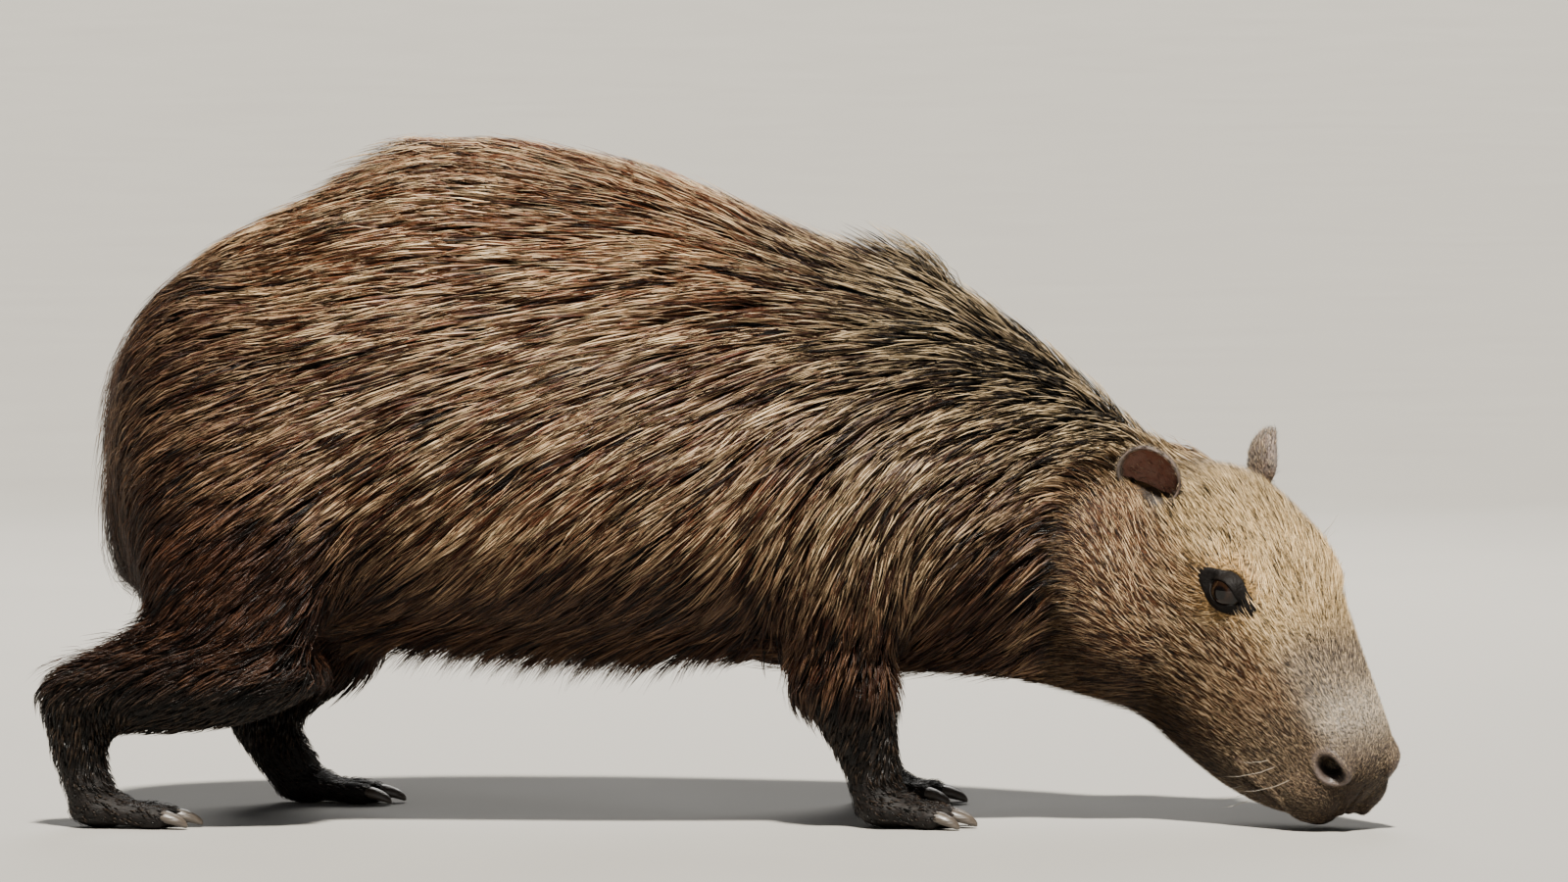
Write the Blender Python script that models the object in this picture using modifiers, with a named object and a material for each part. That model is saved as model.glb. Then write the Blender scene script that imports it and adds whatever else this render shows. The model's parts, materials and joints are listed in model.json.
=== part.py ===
"""A capybara walking with its head down to graze, life size, as a still model.

The animal faces +X, its left side faces +Y, and its feet stand on z = 0. The whole animal is
lofted from stations, blended, and then parted by thin cuts into the pieces that a person would
name. Distances are in metres.
"""

import math
import random

import bmesh
import bpy
import numpy
from mathutils import Matrix, Vector
from mathutils.bvhtree import BVHTree

# Sizes that drive the model.
GAP = 0.0003  # between pieces that touch
BLEND_VOXEL = 0.006  # cell of the first blend of trunk and limbs
DETAIL_VOXEL = 0.003  # cell of the second blend, which keeps the toes and the muzzle
CORE_DEPTH = 0.009  # of the body's core under the outline of its long coat
FUR_DEPTH = 0.002  # of the head and lower legs under the outline of their short fur
WHOLE_TRIANGLES = 3500  # of the whole animal before it is parted

RIGHT, LEFT = -1, 1  # sides, as signs of y

# Torso: place along x, height of the back and of the belly, half width.
TORSO = (
    (-0.502, 0.345, 0.235, 0.035),
    (-0.496, 0.368, 0.205, 0.070),
    (-0.482, 0.402, 0.185, 0.105),
    (-0.455, 0.436, 0.175, 0.133),
    (-0.404, 0.475, 0.160, 0.155),
    (-0.348, 0.504, 0.148, 0.168),
    (-0.292, 0.531, 0.142, 0.177),
    (-0.240, 0.552, 0.140, 0.182),
    (-0.188, 0.557, 0.137, 0.186),
    (-0.124, 0.548, 0.132, 0.189),
    (-0.060, 0.535, 0.129, 0.190),
    (0.000, 0.512, 0.128, 0.186),
    (0.060, 0.487, 0.123, 0.178),
    (0.116, 0.467, 0.120, 0.168),
    (0.160, 0.454, 0.119, 0.157),
    (0.200, 0.437, 0.116, 0.144),
)

# Neck: place along x, turn towards the right, height of its top and of the throat, half width.
NECK = (
    (0.150, 0.000, 0.452, 0.125, 0.150),
    (0.200, 0.002, 0.437, 0.116, 0.142),
    (0.252, 0.010, 0.402, 0.109, 0.126),
    (0.292, 0.018, 0.372, 0.101, 0.110),
    (0.332, 0.028, 0.338, 0.090, 0.091),
    (0.358, 0.036, 0.314, 0.100, 0.074),
)

# Head: where it turns about, and how far it is turned.
HEAD_PLACE = Vector((0.405, -0.060, 0.269))  # midway between the roots of the ears
HEAD_YAW = math.radians(42)  # towards the animal's right
HEAD_PITCH = math.radians(50)  # of the line from crown to nose, down
HEAD_ROLL = math.radians(6)  # the right side lower

# Head: place ahead of the ears, depth of its top, of its widest level and of the jaw under the
# line from crown to nose, half width, squareness of the upper and of the lower half.
HEAD = (
    (-0.075, 0.020, 0.080, 0.140, 0.055, 2.0, 2.0),
    (-0.050, 0.000, 0.075, 0.160, 0.070, 2.1, 2.2),
    (-0.020, -0.012, 0.075, 0.172, 0.078, 2.4, 2.3),
    (0.010, -0.023, 0.077, 0.177, 0.081, 2.7, 2.3),
    (0.040, -0.031, 0.078, 0.179, 0.081, 2.9, 2.3),
    (0.070, -0.036, 0.077, 0.178, 0.078, 3.0, 2.4),
    (0.100, -0.035, 0.074, 0.174, 0.073, 3.0, 2.5),
    (0.130, -0.031, 0.070, 0.167, 0.066, 2.8, 2.6),
    (0.160, -0.026, 0.067, 0.158, 0.060, 2.7, 2.7),
    (0.190, -0.019, 0.064, 0.147, 0.055, 2.7, 2.8),
    (0.220, -0.011, 0.060, 0.130, 0.051, 2.8, 2.9),
    (0.245, -0.003, 0.057, 0.111, 0.048, 2.9, 2.9),
    (0.262, 0.007, 0.055, 0.092, 0.043, 2.8, 2.8),
    (0.274, 0.021, 0.055, 0.078, 0.033, 2.5, 2.5),
    (0.280, 0.040, 0.056, 0.070, 0.016, 2.2, 2.2),
)

# Legs: x, distance from the middle, height, half depth fore and aft, half width.
NEAR_THIGH = (
    (-0.375, 0.050, 0.425, 0.080, 0.050),
    (-0.380, 0.082, 0.370, 0.108, 0.076),
    (-0.377, 0.104, 0.300, 0.114, 0.076),
    (-0.378, 0.114, 0.235, 0.102, 0.068),
    (-0.376, 0.121, 0.185, 0.088, 0.058),
    (-0.360, 0.126, 0.145, 0.066, 0.048),
)
NEAR_SHANK = (
    (-0.325, 0.124, 0.158, 0.046, 0.040),
    (-0.385, 0.127, 0.142, 0.057, 0.045),
    (-0.440, 0.125, 0.128, 0.053, 0.040),
    (-0.485, 0.121, 0.117, 0.043, 0.033),
    (-0.522, 0.118, 0.110, 0.031, 0.027),
)
NEAR_METATARSUS = (
    (-0.519, 0.118, 0.128, 0.024, 0.022),
    (-0.521, 0.118, 0.108, 0.030, 0.026),
    (-0.518, 0.117, 0.075, 0.026, 0.023),
    (-0.513, 0.116, 0.045, 0.023, 0.022),
    (-0.504, 0.115, 0.020, 0.024, 0.027),
)
FAR_THIGH = (
    (-0.340, 0.050, 0.425, 0.080, 0.050),
    (-0.338, 0.082, 0.370, 0.105, 0.076),
    (-0.325, 0.104, 0.305, 0.106, 0.076),
    (-0.312, 0.114, 0.245, 0.092, 0.066),
    (-0.302, 0.121, 0.200, 0.072, 0.054),
)
FAR_SHANK = (
    (-0.285, 0.122, 0.215, 0.050, 0.044),
    (-0.312, 0.122, 0.165, 0.052, 0.042),
    (-0.345, 0.120, 0.122, 0.044, 0.036),
    (-0.372, 0.118, 0.088, 0.033, 0.030),
    (-0.380, 0.118, 0.070, 0.026, 0.025),
)
FAR_METATARSUS = (
    (-0.390, 0.118, 0.092, 0.022, 0.022),
    (-0.380, 0.118, 0.072, 0.029, 0.026),
    (-0.366, 0.118, 0.044, 0.026, 0.024),
    (-0.348, 0.118, 0.020, 0.025, 0.028),
)
UPPER_ARM = (
    (0.105, 0.050, 0.400, 0.060, 0.045),
    (0.105, 0.088, 0.340, 0.080, 0.064),
    (0.102, 0.108, 0.270, 0.082, 0.062),
    (0.098, 0.117, 0.200, 0.066, 0.052),
    (0.098, 0.119, 0.150, 0.052, 0.042),
)
FOREARM = (
    (0.096, 0.119, 0.165, 0.052, 0.040),
    (0.099, 0.119, 0.130, 0.046, 0.036),
    (0.111, 0.118, 0.092, 0.035, 0.029),
    (0.120, 0.117, 0.060, 0.0265, 0.025),
    (0.125, 0.116, 0.036, 0.024, 0.024),
    (0.131, 0.116, 0.018, 0.026, 0.028),
)

# Feet: middle of the pad, where the toes spread from, their reach ahead and their spread.
HIND_TOES = ((0.058, -0.023), (0.069, 0.000), (0.056, 0.023))
FORE_TOES = ((0.044, -0.029), (0.058, -0.010), (0.057, 0.010), (0.042, 0.029))
TOE_RADIUS = 0.0095
CLAW_LENGTH = 0.017

# Head details, as (ahead, below, aside) in the head's own directions.
EYE_RADIUS = 0.0155
EYE_PLACE = (0.0945, 0.0022)  # ahead and below; it lies just under the skin there
EYE_WAY = (0.10, -0.22, 1.0)  # that the eye looks
EYE_SINK = 0.0085  # of its middle under the skin
LID_REACH = (0.0178, 0.0150)  # half length and half height of the middle of the lids' rim
LID_HEIGHT = 0.0062  # of that rim over the middle of the eyeball
LID_RADIUS = 0.0036
EYE_TURN = math.radians(14)  # of the lids' long axis, towards the crown
EAR_ROOT = (0.000, -0.002, 0.057)
EAR_TIP_WAY = (-0.044, -0.002, 0.027)
EAR_FACING = (0.5, -0.2, 0.85)
EAR_LENGTH = 0.058
NOSTRIL_PLACE = (0.254, 0.025, 0.032)
NOSTRIL_WAY = (0.80, 0.10, 0.62)
NOSTRIL_RADII = (0.0125, 0.0065, 0.0120)
MOUTH_CORNER = (0.212, 0.098, 0.046)
MOUTH_FRONT = (0.283, 0.078, 0.000)

# Locks of the long coat.
SEED = 20
LOCK_COUNT = 126
LOCK_POOL = 4000  # places on the coat that roots are picked from
LOCK_CLOSER = 0.75  # how much less a step along the lie counts than one across it
LOCK_LENGTH = (0.120, 0.150)  # least and most
LOCK_WIDTH = (0.046, 0.060)
LOCK_BEND = math.radians(16)  # most turn of a lock away from the lie
LOCK_SIZES = (1.0, 0.85, 0.70, 0.56, 0.45)  # shares of its size, the smaller ones near a seam
EAR_CLEARANCE = 0.045  # of the locks' roots
LOCK_SHAPE = (  # place along a lock, share of its width, height over the core, thickness
    (0.00, 0.34, -0.0065, 0.0040),
    (0.30, 0.92, 0.0020, 0.0045),
    (0.60, 0.88, 0.0050, 0.0042),
    (0.85, 0.48, 0.0072, 0.0030),
)
LOCKS_KEPT = 0.80  # share of the triangles that stay when the slivers of the joins are thinned out
TIP_HEIGHT = 0.0090
FRINGE = (-0.235, 0.045)  # stretch of the belly, between the legs, where a row of locks hangs
FRINGE_COUNT = 8  # on each side
FRINGE_SIZE = (0.78, 0.85)  # length and width of its locks as shares of the others
FRINGE_ROOT = 0.170  # height of their roots
FRINGE_TURN = -0.35  # slope of the belly's surface where they leave it
TUFT_SIZE = (0.55, 0.55)  # length and width of a tuft's locks as shares of the others
TUFTS = (  # rows of small locks across the nape and spine: x, count, spacing, how far they stand out
    (0.347, 3, 0.034, 0.001),
    (0.308, 4, 0.032, 0.002),
    (0.222, 4, 0.030, 0.003),
    (0.185, 4, 0.014, 0.017),
    (0.150, 3, 0.014, 0.008),
    (-0.215, 4, 0.014, 0.010),
    (-0.165, 3, 0.014, 0.007),
)
TUFT_SHIFT = 0.010  # most that a root strays from its row
NAPE_TURN = 0.030  # of the nape's middle line towards the right, at the ears

# Where lower legs, thighs and upper arms are parted: shape, side, middle, and half length, height
# and depth.
LIMB_SEAMS = (
    ("shank_right", "box", RIGHT, -0.4425, 0.125, 0.100, 0.1575, 0.055, 0.070),
    ("shank_left", "box", LEFT, -0.3350, 0.125, 0.100, 0.105, 0.050, 0.070),
    ("forearm_right", "box", RIGHT, 0.110, 0.125, 0.065, 0.075, 0.068, 0.070),
    ("forearm_left", "box", LEFT, 0.110, 0.125, 0.065, 0.075, 0.068, 0.070),
    ("thigh_right", "blob", RIGHT, -0.385, 0.150, 0.255, 0.105, 0.165, 0.085),
    ("thigh_left", "blob", LEFT, -0.325, 0.150, 0.270, 0.100, 0.160, 0.085),
    ("upper_arm_right", "blob", RIGHT, 0.100, 0.145, 0.245, 0.078, 0.140, 0.075),
    ("upper_arm_left", "blob", LEFT, 0.100, 0.145, 0.245, 0.078, 0.140, 0.075),
)
LOCKED = ("torso", "neck", "thigh_right", "thigh_left", "upper_arm_right", "upper_arm_left")

COLOURS = {
    "coat": (0.16, 0.075, 0.035, 1.0),
    "face": (0.30, 0.185, 0.095, 1.0),
    "leg": (0.045, 0.025, 0.018, 1.0),
    "ear": (0.20, 0.12, 0.09, 1.0),
    "eye": (0.012, 0.008, 0.006, 1.0),
    "claw": (0.05, 0.042, 0.036, 1.0),
}
ROUGHNESS = {"coat": 0.5, "face": 0.6, "leg": 0.5, "ear": 0.6, "eye": 0.08, "claw": 0.4}


def clear_scene():
    for obj in list(bpy.data.objects):
        bpy.data.objects.remove(obj, do_unlink=True)


def make_collection(name):
    collection = bpy.data.collections.new(name)
    bpy.context.scene.collection.children.link(collection)
    return collection


def make_material(name):
    material = bpy.data.materials.new(name)
    material.use_nodes = True
    shader = material.node_tree.nodes["Principled BSDF"]
    shader.inputs["Base Color"].default_value = COLOURS[name]
    shader.inputs["Roughness"].default_value = ROUGHNESS[name]
    shader.inputs["Metallic"].default_value = 0.0
    return material


def object_from(bm, name, collection):
    mesh = bpy.data.meshes.new(name)
    bm.to_mesh(mesh)
    bm.free()
    obj = bpy.data.objects.new(name, mesh)
    collection.objects.link(obj)
    return obj


def hidden(obj):
    obj.hide_render = True
    obj.display_type = "WIRE"
    return obj


def copy_of(obj, name, collection):
    copy = obj.copy()
    copy.data = obj.data.copy()
    copy.name = name
    collection.objects.link(copy)
    return copy


def remove(*objects):
    for obj in objects:
        bpy.data.objects.remove(obj, do_unlink=True)


def apply_modifiers(obj):
    bpy.context.view_layer.update()
    graph = bpy.context.evaluated_depsgraph_get()
    mesh = bpy.data.meshes.new_from_object(obj.evaluated_get(graph))
    obj.modifiers.clear()
    obj.data = mesh


def keep_largest(obj):
    """Keeps the closed surface that has the most room in it."""
    bm = bmesh.new()
    bm.from_mesh(obj.data)
    bmesh.ops.triangulate(bm, faces=bm.faces)
    seen, shells = set(), []
    for start in bm.faces:
        if start in seen:
            continue
        shell, queue = [], [start]
        seen.add(start)
        while queue:
            face = queue.pop()
            shell.append(face)
            for edge in face.edges:
                for other in edge.link_faces:
                    if other not in seen:
                        seen.add(other)
                        queue.append(other)
        volume = 0.0
        for face in shell:
            a, b, c = (vert.co for vert in face.verts)
            volume += a.dot(b.cross(c)) / 6
        shells.append((volume, shell))
    shells.sort(key=lambda item: item[0])
    scraps = [face for _, shell in shells[:-1] for face in shell]
    bmesh.ops.delete(bm, geom=scraps, context="FACES")
    bm.to_mesh(obj.data)
    bm.free()


def combine(obj, other, operation):
    """Joins another object to this one, cuts it away, or keeps what they share."""
    step = obj.modifiers.new(operation.lower(), "BOOLEAN")
    step.operation = operation
    step.object = other
    step.solver = "MANIFOLD"
    apply_modifiers(obj)


def combine_all(obj, collection):
    """Joins every object of a collection to this one, and removes them."""
    step = obj.modifiers.new("join", "BOOLEAN")
    step.operation = "UNION"
    step.operand_type = "COLLECTION"
    step.collection = collection
    step.solver = "MANIFOLD"
    apply_modifiers(obj)
    remove(*collection.objects)
    keep_largest(obj)


def eased(stations, steps=5):
    """More stations on a smooth path through the given ones."""
    out = []
    last = len(stations) - 1
    for i in range(last):
        p0, p1 = stations[max(i - 1, 0)], stations[i]
        p2, p3 = stations[i + 1], stations[min(i + 2, last)]
        for k in range(steps):
            t = k / steps
            row = []
            for a, b, c, d in zip(p0, p1, p2, p3):
                row.append(
                    b
                    + 0.5 * t * (c - a)
                    + t * t * (a - 2.5 * b + 2 * c - 0.5 * d)
                    + t * t * t * (1.5 * b - 0.5 * a - 1.5 * c + 0.5 * d)
                )
            out.append(tuple(row))
    out.append(stations[-1])
    return out


def ring(centre, side, up, half_width, rise, fall, power_up=2.2, power_down=2.2, count=36):
    """Points of a rounded, egg-shaped or squarish section."""
    points = []
    for i in range(count):
        angle = 2 * math.pi * i / count
        c, s = math.cos(angle), math.sin(angle)
        power = power_up if s > 0 else power_down
        across = math.copysign(abs(c) ** (2 / power), c) * half_width
        along = math.copysign(abs(s) ** (2 / power), s) * (rise if s > 0 else fall)
        points.append(centre + side * across + up * along)
    return points


def loft(rings, name, collection=None):
    """A closed solid through the rings, with flat ends."""
    bm = bmesh.new()
    rows = [[bm.verts.new(point) for point in row] for row in rings]
    count = len(rows[0])
    for row, after in zip(rows, rows[1:]):
        for i in range(count):
            j = (i + 1) % count
            bm.faces.new((row[i], row[j], after[j], after[i]))
    bm.faces.new(rows[0])
    bm.faces.new(rows[-1])
    bmesh.ops.recalc_face_normals(bm, faces=bm.faces)
    if sum(face.calc_area() * face.normal.dot(face.calc_center_median() - rows[0][0].co)
           for face in bm.faces) < 0:
        bmesh.ops.reverse_faces(bm, faces=bm.faces)
    return object_from(bm, name, collection or PARTS)


def level_rings(stations, power_up):
    """Upright sections of the torso or neck."""
    rings = []
    for x, turn, top, bottom, half_width in eased(stations):
        middle = bottom + 0.46 * (top - bottom)
        centre = Vector((x, -turn, middle))
        rings.append(ring(centre, Vector((0, 1, 0)), Vector((0, 0, 1)), half_width,
                          top - middle, middle - bottom, power_up, 2.35))
    return rings


def limb_rings(stations, side):
    """Sections across a limb, which swings fore and aft beside the body."""
    rows = eased([(x, side * y, z, depth, width) for x, y, z, depth, width in stations])
    rings = []
    for i, (x, y, z, depth, width) in enumerate(rows):
        before, after = rows[max(i - 1, 0)], rows[min(i + 1, len(rows) - 1)]
        way = (Vector(after[:3]) - Vector(before[:3])).normalized()
        aside = Vector((0, 1, 0))
        aside = (aside - way * aside.dot(way)).normalized()
        fore = way.cross(aside)
        rings.append(ring(Vector((x, y, z)), aside, fore, width, depth, depth))
    return rings


def head_axes():
    """Directions along the face, down through the jaw, and out to the animal's right."""
    cy, sy = math.cos(HEAD_YAW), math.sin(HEAD_YAW)
    cp, sp = math.cos(HEAD_PITCH), math.sin(HEAD_PITCH)
    ahead = Vector((cy * cp, -sy * cp, -sp))
    below = Vector((-cy * sp, sy * sp, -cp))
    right = Vector((-sy, -cy, 0))
    roll = Matrix.Rotation(HEAD_ROLL, 3, ahead)
    return ahead, roll @ below, roll @ right


def in_head(ahead, below, aside, side=RIGHT):
    """A point given in the head's own directions; aside is out to the given side."""
    return HEAD_PLACE + AHEAD * ahead + BELOW * below - HEAD_RIGHT * aside * side


def head_rings():
    rings = []
    for ahead, top, middle, bottom, half_width, square_up, square_down in eased(HEAD):
        rings.append(ring(in_head(ahead, middle, 0), HEAD_RIGHT, -BELOW, half_width,
                          middle - top, bottom - middle, square_up, square_down))
    return rings


def blob(centre, axes, radii, name, collection=None, segments=20, rings=12):
    """An ellipsoid with its own axes, and its poles on the last of them."""
    bm = bmesh.new()
    bmesh.ops.create_uvsphere(bm, u_segments=segments, v_segments=rings, radius=1.0)
    turn = Matrix(axes).transposed().to_4x4() @ Matrix.Diagonal((*radii, 1.0))
    bmesh.ops.transform(bm, matrix=Matrix.Translation(centre) @ turn, verts=bm.verts)
    bmesh.ops.recalc_face_normals(bm, faces=bm.faces)
    return object_from(bm, name, collection or PARTS)


def box_cutter(centre, axes, halves, name):
    bm = bmesh.new()
    bmesh.ops.create_cube(bm, size=2.0)
    turn = Matrix(axes).transposed().to_4x4() @ Matrix.Diagonal((*halves, 1.0))
    bmesh.ops.transform(bm, matrix=Matrix.Translation(centre) @ turn, verts=bm.verts)
    bmesh.ops.recalc_face_normals(bm, faces=bm.faces)
    return hidden(object_from(bm, name, CUTTERS))


def blend(objects, name, voxel):
    """Melts overlapping closed solids into one surface."""
    bm = bmesh.new()
    for obj in objects:
        bm.from_mesh(obj.data)
    remove(*objects)
    obj = object_from(bm, name, PARTS)
    step = obj.modifiers.new("melt", "REMESH")
    step.mode = "VOXEL"
    step.voxel_size = voxel
    apply_modifiers(obj)
    keep_largest(obj)
    return obj


def soften(obj, weight, repeat):
    """Evens the surface, more where weight(point) is nearer to 1."""
    group = obj.vertex_groups.new(name="soft")
    for vert in obj.data.vertices:
        group.add([vert.index], weight(vert.co), "REPLACE")
    step = obj.modifiers.new("soften", "SMOOTH")
    step.factor = 0.6
    step.iterations = repeat
    step.vertex_group = "soft"
    apply_modifiers(obj)
    obj.vertex_groups.clear()


def ramp(value, low, high):
    """0 at low and 1 at high, with a smooth step between them; low may be the larger."""
    t = min(max((value - low) / (high - low), 0.0), 1.0)
    return t * t * (3 - 2 * t)


def in_long_coat(point):
    """1 on the body, 0 on the head and lower legs."""
    along = (point - HEAD_PLACE).dot(AHEAD)
    on_head = ramp(along, -0.050, -0.010) * ramp(point.x, 0.25, 0.30)
    on_leg = ramp(point.z, 0.150, 0.100) * (1 - ramp(point.x, -0.28, -0.20) * ramp(point.x, 0.04, 0.02))
    return (1 - on_head) * (1 - on_leg)


def sink_into_coat(obj):
    """Moves the outline in by the depth of coat over the core."""
    mesh = obj.data
    normals = [vert.normal.copy() for vert in mesh.vertices]
    for vert, normal in zip(mesh.vertices, normals):
        coat = in_long_coat(vert.co)
        vert.co -= normal * (FUR_DEPTH + (CORE_DEPTH - FUR_DEPTH) * coat)
    mesh.update()


def trunk():
    """Torso, neck, head and legs, blended."""
    torso = [(x, 0.0, top, bottom, half) for x, top, bottom, half in TORSO]
    pieces = [loft(level_rings(torso, 2.15), "torso_form"), loft(level_rings(NECK, 1.8), "neck_form"),
              loft(head_rings(), "head_form")]
    for side, thigh, shank, metatarsus in ((RIGHT, NEAR_THIGH, NEAR_SHANK, NEAR_METATARSUS),
                                           (LEFT, FAR_THIGH, FAR_SHANK, FAR_METATARSUS)):
        for stations in (thigh, shank, metatarsus, UPPER_ARM, FOREARM):
            pieces.append(loft(limb_rings(stations, side), "limb_form"))
    whole = blend(pieces, "whole", BLEND_VOXEL)
    soften(whole, lambda point: 0.10 + 0.90 * in_long_coat(point), 14)
    sink_into_coat(whole)
    return whole


def toe_forms(heel, toes):
    """Toes that fan out from the front of a pad and lie flat on the ground."""
    forms = []
    for reach, spread in toes:
        root = heel + Vector((0.006, spread * 0.55, 0.000))
        tip = heel + Vector((reach, spread, -0.006))
        way = (tip - root).normalized()
        aside = Vector((0, 0, 1)).cross(way).normalized()
        up = way.cross(aside)
        rings = []
        for t, size in ((0.0, 0.95), (0.25, 1.0), (0.5, 0.92), (0.75, 1.02), (0.92, 0.85), (1.0, 0.5)):
            radius = TOE_RADIUS * size
            rings.append(ring(root.lerp(tip, t), aside, up, radius, radius, radius, count=16))
        forms.append(loft(rings, "toe_form"))
    return forms


def foot_forms(heel, toes):
    axes = (Vector((1, 0, 0)), Vector((0, 1, 0)), Vector((0, 0, 1)))
    half_spread = max(spread for _, spread in toes)
    pad = blob(heel + Vector((0.004, 0, 0.001)), axes, (0.028, half_spread + 0.002, 0.015), "pad_form")
    web = blob(heel + Vector((0.022, 0, -0.004)), axes, (0.022, half_spread * 0.8, 0.007), "web_form")
    return [pad, web] + toe_forms(heel, toes)


def foot_places():
    """Name, side, middle of the pad and toes of each foot."""
    height = 0.0135
    return (
        ("hind_foot_right", RIGHT, Vector((-0.502, RIGHT * 0.115, height)), HIND_TOES),
        ("hind_foot_left", LEFT, Vector((-0.346, LEFT * 0.118, height)), HIND_TOES),
        ("fore_foot_right", RIGHT, Vector((0.134, RIGHT * 0.116, height)), FORE_TOES),
        ("fore_foot_left", LEFT, Vector((0.130, LEFT * 0.116, height)), FORE_TOES),
    )


def face_forms():
    """Brows, whisker pads, nose and chin, which round out the head."""
    axes = (AHEAD, BELOW, HEAD_RIGHT)
    forms = []
    for side in (RIGHT, LEFT):
        forms.append(blob(in_head(0.084, -0.012, 0.042, side), axes, (0.040, 0.017, 0.013), "brow_form"))
        forms.append(blob(in_head(0.108, 0.026, 0.052, side), axes, (0.030, 0.014, 0.012), "cheek_form"))
        forms.append(blob(in_head(0.250, 0.060, 0.025, side), axes, (0.029, 0.030, 0.024), "lip_form"))
        forms.append(blob(in_head(0.254, 0.026, 0.025, side), axes, (0.017, 0.016, 0.013), "nose_form"))
    forms.append(blob(in_head(0.245, 0.090, 0.0), axes, (0.026, 0.014, 0.028), "chin_form"))
    return forms


def whole_animal():
    pieces = [trunk()]
    for _, _, heel, toes in foot_places():
        pieces += foot_forms(heel, toes)
    pieces += face_forms()
    whole = blend(pieces, "whole", DETAIL_VOXEL)
    soften(whole, lambda point: 0.35 + 0.65 * in_long_coat(point), 5)
    fine = copy_of(whole, "fine", CUTTERS)
    thin_out(whole, WHOLE_TRIANGLES / len(whole.data.polygons))
    return whole, fine


def thin_out(obj, ratio):
    step = obj.modifiers.new("thin", "DECIMATE")
    step.ratio = ratio
    apply_modifiers(obj)


def flatten_soles(whole):
    """Cuts the feet level with the ground."""
    flat = (Vector((1, 0, 0)), Vector((0, 1, 0)), Vector((0, 0, 1)))
    combine(whole, box_cutter(Vector((0, 0, -0.1)), flat, (1.0, 1.0, 0.1), "floor_cut"), "DIFFERENCE")
    keep_largest(whole)


def seams():
    """The pieces that are cut off the whole in turn: name, shape, middle, axes and half sizes."""
    flat = (Vector((1, 0, 0)), Vector((0, 0, 1)), Vector((0, 1, 0)))
    ankle = 0.050
    cuts = []
    for name, side, heel, _ in foot_places():
        centre = Vector((heel.x + 0.03, side * 0.12, -0.05))
        cuts.append((name, "box", centre, flat, (0.11, 0.05 + ankle, 0.065)))
    for name, shape, side, x, y, z, long, high, deep in LIMB_SEAMS:
        cuts.append((name, shape, Vector((x, side * y, z)), flat, (long, high, deep)))
    way = (AHEAD + Vector((0.55, 0, 0))).normalized()
    aside = Vector((0, 0, 1)).cross(way).normalized()
    centre = HEAD_PLACE + AHEAD * -0.045 + BELOW * 0.075 + way * 0.25
    cuts.append(("head", "box", centre, (way, aside, way.cross(aside)), (0.25, 0.25, 0.17)))
    way = Vector((1, 0, -0.22)).normalized()
    aside = Vector((0, 1, 0))
    centre = Vector((0.195, 0, 0.28)) + way * 0.15
    cuts.append(("neck", "box", centre, (way, aside, way.cross(aside)), (0.15, 0.25, 0.21)))
    return cuts


def home_of(point, cuts):
    """The name of the piece that a point belongs to."""
    for name, shape, centre, axes, halves in cuts:
        shares = [(point - centre).dot(axis) / half for axis, half in zip(axes, halves)]
        if shape == "box" and max(abs(share) for share in shares) < 1:
            return name
        if shape == "blob" and sum(share * share for share in shares) < 1:
            return name
    return "torso"


def part_off(whole, name, shape, centre, axes, halves):
    """Takes off what lies in a box or an ellipsoid, with a thin gap."""
    cutters = []
    for grow in (-GAP / 2, GAP / 2):
        sizes = [half + grow for half in halves]
        if shape == "box":
            cutters.append(box_cutter(centre, axes, sizes, name + "_cut"))
        else:
            cutters.append(hidden(blob(centre, axes, sizes, name + "_cut", CUTTERS, 22, 6)))
    piece = copy_of(whole, name, PARTS)
    combine(piece, cutters[0], "INTERSECT")
    keep_largest(piece)
    combine(whole, cutters[1], "DIFFERENCE")
    keep_largest(whole)
    return piece


def lie_of(point):
    """The way the coat lies: back along the spine, more and more down towards belly and legs."""
    leg = ramp(abs(point.y), 0.07, 0.12) * ramp(point.z, 0.38, 0.24)
    leg *= max(ramp(point.x, -0.22, -0.32), ramp(point.x, 0.00, 0.06) * ramp(point.x, 0.19, 0.14))
    rump = ramp(point.x, -0.34, -0.47)
    angle = 8 + 44 * ramp(point.z, 0.50, 0.17) + 22 * leg + 40 * rump
    angle = math.radians(min(angle, 84))
    return Vector((-math.cos(angle), 0, -math.sin(angle)))


def flattened(way, normal):
    """The same way, along the surface."""
    return (way - normal * way.dot(normal)).normalized()


def carries_locks(point, normal, cuts):
    """Leaves out the face, lower legs, the insides of the legs, the belly and its fringe."""
    inside_leg = point.z < 0.20 and normal.y * point.y < 0
    at_fringe = point.z < FRINGE_ROOT + 0.02 and FRINGE[0] < point.x < FRINGE[1]
    if in_long_coat(point) < 0.8 or normal.z < -0.60 or inside_leg or at_fringe:
        return False
    return home_of(point, cuts) in LOCKED


def clear_of_ears(point):
    return min((point - in_head(*EAR_ROOT, side)).length for side in (RIGHT, LEFT)) > EAR_CLEARANCE


def fitting_path(tree, place, way, length, turn, cuts):
    """The longest lock from a root that stays in the root's own piece, and its share of the size."""
    home = home_of(place, cuts)
    if not clear_of_ears(place):
        return None, 0.0
    for share in LOCK_SIZES:
        path = lock_path(tree, place, way, length * share, turn)
        if all(home_of(point + normal * 0.005, cuts) == home for point, normal, _ in path):
            return path, share
    return None, 0.0


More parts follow.
